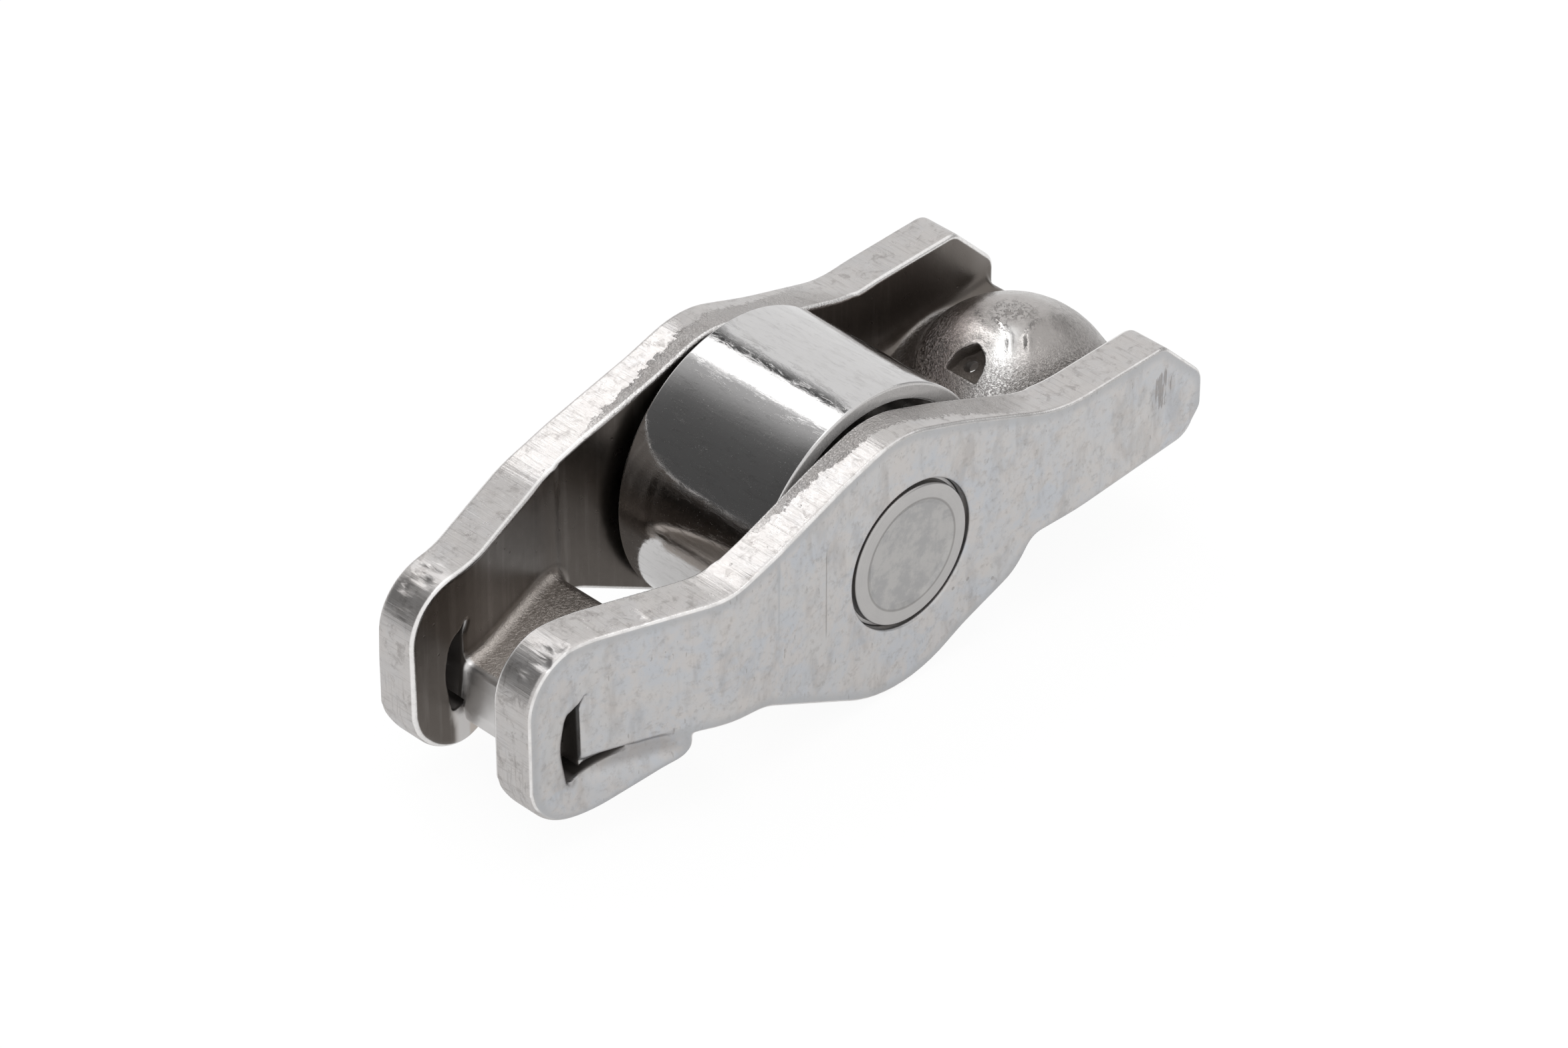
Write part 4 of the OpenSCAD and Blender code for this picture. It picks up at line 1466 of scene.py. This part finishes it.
@dataclass
class NeedleRow:
    """The full row of bearing needles between pin and ring."""

    sides: int = 24
    stations: int = 50
    end_round: float = 0.2
    play: float = 0.02
    needle_radius: float = field(init=False)
    orbit: float = field(init=False)
    length: float = field(init=False)
    names: list[str] = field(init=False)

    def __post_init__(self) -> None:
        """Reads the needles' sizes off the frame."""
        self.names = sorted(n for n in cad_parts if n.startswith("needle_"))
        low, high = box_mm(self.names[0])
        self.needle_radius = (high - low)[2] / 2
        self.length = (high - low)[1]
        self.orbit = ((low + high) / 2 - AXLE)[0]

    @property
    def race_radius(self) -> float:
        """Radius of the race that the needles run in."""
        return self.orbit + self.needle_radius + self.play

    def _tree(self, finish: bpy.types.Material) -> bpy.types.NodeTree:
        """The node tree that sets rounded needles on their orbit.

        Args:
            finish: Material of the needles.

        Returns:
            The tree, with inputs Count, Orbit, Radius, Length and End round in metres.
        """
        tree = bpy.data.node_groups.new("needle_row", "GeometryNodeTree")
        bench = Bench(tree)
        face = tree.interface
        face.new_socket("Geometry", in_out="OUTPUT", socket_type="NodeSocketGeometry")
        face.new_socket("Count", in_out="INPUT", socket_type="NodeSocketInt")
        for name in ("Orbit", "Radius", "Length", "End round"):
            face.new_socket(name, in_out="INPUT", socket_type="NodeSocketFloat")
        given = bench.place("NodeGroupInput", {}, {})
        count, orbit, radius, length, end = (Sock(bench, given.outputs[i]) for i in range(5))
        half = length * 0.5
        start = bench.node("ShaderNodeCombineXYZ", {}, {"Y": half * -1.0})
        ends = {"Start": start, "End": bench.node("ShaderNodeCombineXYZ", {}, {"Y": half})}
        axis = bench.node("GeometryNodeCurvePrimitiveLine", {"mode": "POINTS"}, ends)
        axis = bench.node("GeometryNodeResampleCurve", {}, {"Curve": axis, "Count": self.stations})
        y = bench.axis(bench.node("GeometryNodeInputPosition", {}, {}), "Y")
        past = (y.size() - (half - end)).either(0.0)
        square = end * end - past * past
        root = bench.node("ShaderNodeMath", {"operation": "SQRT"}, {0: square.either(0.0)})
        share = radius - end + root
        round_one = {"Resolution": self.sides, "Radius": 1.0}
        ring = bench.node("GeometryNodeCurvePrimitiveCircle", {"mode": "RADIUS"}, round_one)
        path = {"Curve": axis, "Profile Curve": ring, "Scale": share, "Fill Caps": True}
        needle = bench.node("GeometryNodeCurveToMesh", {}, path)
        places = {"Vertices": count, "Radius": orbit}
        seats = bench.node("GeometryNodeMeshCircle", {"fill_type": "NONE"}, places)
        quarter = (math.pi / 2, 0.0, 0.0)
        seats = bench.node("GeometryNodeTransform", {}, {"Geometry": seats, "Rotation": quarter})
        row = bench.node("GeometryNodeInstanceOnPoints", {}, {"Points": seats, "Instance": needle})
        row = bench.node("GeometryNodeRealizeInstances", {}, {"Geometry": row})
        row = bench.node("GeometryNodeTransform", {}, {"Geometry": row, "Translation": tuple(AXLE * MM)})
        row = bench.node("GeometryNodeSetShadeSmooth", {}, {"Geometry": row})
        row = bench.node("GeometryNodeSetMaterial", {}, {"Geometry": row, "Material": finish})
        bench.place("NodeGroupOutput", {}, {0: row})
        return tree

    def build(self, finish: bpy.types.Material) -> bpy.types.Object:
        """Sets the row of needles and makes it a plain mesh.

        Args:
            finish: Material of the needles.

        Returns:
            The new object.
        """
        piece = bpy.data.objects.new("needle_row", bpy.data.meshes.new("needle_row"))
        bpy.context.scene.collection.objects.link(piece)
        grower = piece.modifiers.new("needles", "NODES")
        grower.node_group = self._tree(finish)
        sizes = {
            "Count": len(self.names),
            "Orbit": self.orbit * MM,
            "Radius": self.needle_radius * MM,
            "Length": self.length * MM,
            "End round": self.end_round * MM,
        }
        for item in grower.node_group.interface.items_tree:
            if item.in_out == "INPUT":
                grower[item.identifier] = sizes[item.name]
        return baked(piece)

    def dress(self, piece: bpy.types.Object) -> None:
        """Gives the needles their place in the frame."""
        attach(piece, Body.NEEDLES.value)
        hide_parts(*self.names)


@dataclass
class Studio:
    """A pale floor, soft light and the camera."""

    camera_at: Corner = (-226.81, -208.60, 215.04)
    camera_back: Corner = (-0.5718, -0.5713, 0.5888)
    lens: float = 153.453
    sensor: float = 36.0
    near_and_far: Point = (0.01, 20.0)
    floor_z: float = -7.0
    floor_half: float = 3000.0
    floor_white: float = 0.9
    floor_glow: float = 1.03
    floor_seen: float = 0.9
    floor_mirrored: float = 0.5
    fill: float = 0.85
    lamp_direction: Point = (77.5, 53.0)
    lamp_distance: float = 500.0
    lamp_size: Point = (108.0, 300.0)
    lamp_radiance: float = 2.4
    overhead_direction: Point = (-135.0, 86.0)
    overhead_size: Point = (240.0, 240.0)
    overhead_radiance: float = 1.3
    dark_card: Span = (90.0, 165.0, -3.0, 62.0)
    dark_shades: tuple[float, ...] = (0.62, 0.56, 0.36, 0.17, 0.12, 0.10, 0.08, 0.07)
    edge_card: Span = (54.5, 67.0, 20.0, 66.0)
    edge_shades: tuple[float, ...] = (0.55, 0.07, 0.30)
    low_card: Span = (-60.0, 22.0, -4.0, 30.0)
    low_shades: tuple[float, ...] = (0.5, 0.4, 0.5)
    card_distance: float = 600.0
    card_steps: int = 24

    @staticmethod
    def toward(azimuth: float, elevation: float) -> Array:
        """Unit direction from angles in degrees."""
        a = math.radians(azimuth)
        e = math.radians(elevation)
        return np.array([math.cos(e) * math.cos(a), math.cos(e) * math.sin(a), math.sin(e)])

    @staticmethod
    def facing(back: Array, place: Array) -> Matrix:
        """Upright pose of a camera or a lamp.

        Args:
            back: Direction from what it looks at towards it.
            place: Where it stands, in metres.

        Returns:
            The pose.
        """
        back = back / np.linalg.norm(back)
        right = np.cross((0, 0, 1), back)
        right = right / np.linalg.norm(right)
        columns = np.stack([right, np.cross(back, right), back, place], 1)
        return Matrix([*columns.tolist(), [0, 0, 0, 1]])

    def camera(self) -> None:
        """Sets the camera where the photograph was taken from."""
        data = bpy.data.cameras.new("camera")
        data.lens = self.lens
        data.sensor_width = self.sensor
        data.sensor_fit = "HORIZONTAL"
        data.clip_start, data.clip_end = self.near_and_far
        seen = bpy.data.objects.new("camera", data)
        seen.matrix_world = self.facing(np.array(self.camera_back), np.array(self.camera_at) * MM)
        bpy.context.scene.collection.objects.link(seen)
        bpy.context.scene.camera = seen

    @staticmethod
    def rays(bench: Bench) -> tuple[Sock, Sock]:
        """1 where the camera looks straight at it, and 1 where it is seen mirrored or through glass."""
        path = bench.place("ShaderNodeLightPath", {}, {})
        glossy = Sock(bench, path.outputs["Is Glossy Ray"])
        through = Sock(bench, path.outputs["Is Transmission Ray"])
        return Sock(bench, path.outputs["Is Camera Ray"]), glossy.either(through)

    def sky(self) -> None:
        """A plain white surround; lit surfaces get it a little dimmer."""
        world = bpy.data.worlds.new("surround")
        bpy.context.scene.world = world
        world.use_nodes = True
        bench = Bench(world.node_tree)
        direct, mirrored = self.rays(bench)
        strength = direct.either(mirrored) * (1.0 - self.fill) + self.fill
        white = (1.0, 1.0, 1.0, 1.0)
        light = bench.node("ShaderNodeBackground", {}, {"Color": white, "Strength": strength})
        bench.place("ShaderNodeOutputWorld", {}, {"Surface": light})

    def floor(self) -> None:
        """A level white floor that keeps a faint shadow."""
        half = self.floor_half
        z = self.floor_z - AXLE[2]
        corners = np.array([(-half, -half, z), (half, -half, z), (half, half, z), (-half, half, z)])
        piece = mesh_object("floor", corners, [(0, 1, 2, 3)])
        material = bpy.data.materials.new("floor_white")
        material.use_nodes = True
        bench = Bench(material.node_tree)
        grey = (self.floor_white,) * 3 + (1.0,)
        lit = bench.node("ShaderNodeBsdfDiffuse", {}, {"Color": grey})
        glow = {"Color": (1.0, 1.0, 1.0, 1.0), "Strength": self.floor_glow}
        white = bench.node("ShaderNodeEmission", {}, glow)
        direct, mirrored = self.rays(bench)
        share = direct * self.floor_seen + mirrored * self.floor_mirrored
        skin = bench.node("ShaderNodeMixShader", {}, {0: share, 1: lit, 2: white})
        bench.place("ShaderNodeOutputMaterial", {}, {"Surface": skin})
        piece.data.materials.append(material)

    def lamp(self, name: str, direction: Point, size: Point, radiance: float) -> None:
        """Hangs a soft lamp that faces the arm.

        Args:
            name: The lamp's name.
            direction: Azimuth and elevation from the arm, in degrees.
            size: Width and height in millimetres.
            radiance: How bright its face looks, where 1 is white.
        """
        data = bpy.data.lights.new(name, "AREA")
        data.shape = "RECTANGLE"
        data.size = size[0] * MM
        data.size_y = size[1] * MM
        data.energy = radiance * math.pi * data.size * data.size_y
        back = self.toward(*direction)
        lamp = bpy.data.objects.new(name, data)
        lamp.matrix_world = self.facing(back, back * self.lamp_distance * MM)
        lamp.visible_camera = False
        bpy.context.scene.collection.objects.link(lamp)

    def card(self, name: str, span: Span, shades: Sequence[float]) -> None:
        """Sets a curved card that only shows in reflections.

        Args:
            name: The card's name.
            span: First and last azimuth, lowest and highest elevation, in degrees.
            shades: Its greys, evenly spaced from the first azimuth to the last.
        """
        first, last, low, high = span
        stride = self.card_steps + 1
        turns = np.linspace(first, last, stride)
        rises = np.linspace(low, high, stride)
        grid = [self.toward(turn, rise) * self.card_distance for turn in turns for rise in rises]
        faces = [
            (at, at + 1, at + stride + 1, at + stride)
            for at in range(stride * self.card_steps)
            if at % stride < self.card_steps
        ]
        across = np.repeat(np.linspace(0, len(shades) - 1, stride), stride)
        piece = mesh_object(name, np.array(grid), faces)
        material = bpy.data.materials.new(name)
        material.use_nodes = True
        bench = Bench(material.node_tree)
        layer = piece.data.attributes.new("shade", "FLOAT", "POINT")
        layer.data.foreach_set("value", np.interp(across, range(len(shades)), shades).astype(np.float32))
        dark = bench.node("ShaderNodeEmission", {}, {"Color": bench.attribute("shade"), "Strength": 1.0})
        bench.place("ShaderNodeOutputMaterial", {}, {"Surface": dark})
        piece.data.materials.append(material)
        piece.visible_camera = False
        piece.visible_diffuse = False
        piece.visible_shadow = False
        piece.visible_transmission = False

    def build(self) -> None:
        """Sets camera, surround, floor, lamps and cards."""
        self.camera()
        self.sky()
        self.floor()
        self.lamp("soft_lamp", self.lamp_direction, self.lamp_size, self.lamp_radiance)
        self.lamp("overhead", self.overhead_direction, self.overhead_size, self.overhead_radiance)
        self.card("dark_card", self.dark_card, self.dark_shades)
        self.card("edge_card", self.edge_card, self.edge_shades)
        self.card("low_card", self.low_card, self.low_shades)
        bpy.context.scene.view_settings.view_transform = "Standard"


def main() -> None:
    """Builds the studio and then every piece, in order."""
    logging.basicConfig(level=logging.INFO, format="%(message)s", stream=sys.stdout)
    Studio().build()
    arm = PressedArm()
    arm.dress(report(arm.build()))
    axle = Axle()
    axle.dress(report(axle.build()))
    needles = NeedleRow()
    ring = RollerRing()
    ring_piece = report(ring.build(needles.race_radius))
    ring.dress(ring_piece)
    needles.dress(report(needles.build(ring_piece.data.materials[0])))


def report(piece: bpy.types.Object) -> bpy.types.Object:
    """Logs a piece's size in triangles and hands it back."""
    triangles = sum(len(face.vertices) - 2 for face in piece.data.polygons)
    LOG.info("%s: %d triangles", piece.name, triangles)
    return piece


if __name__ == "__main__":
    main()
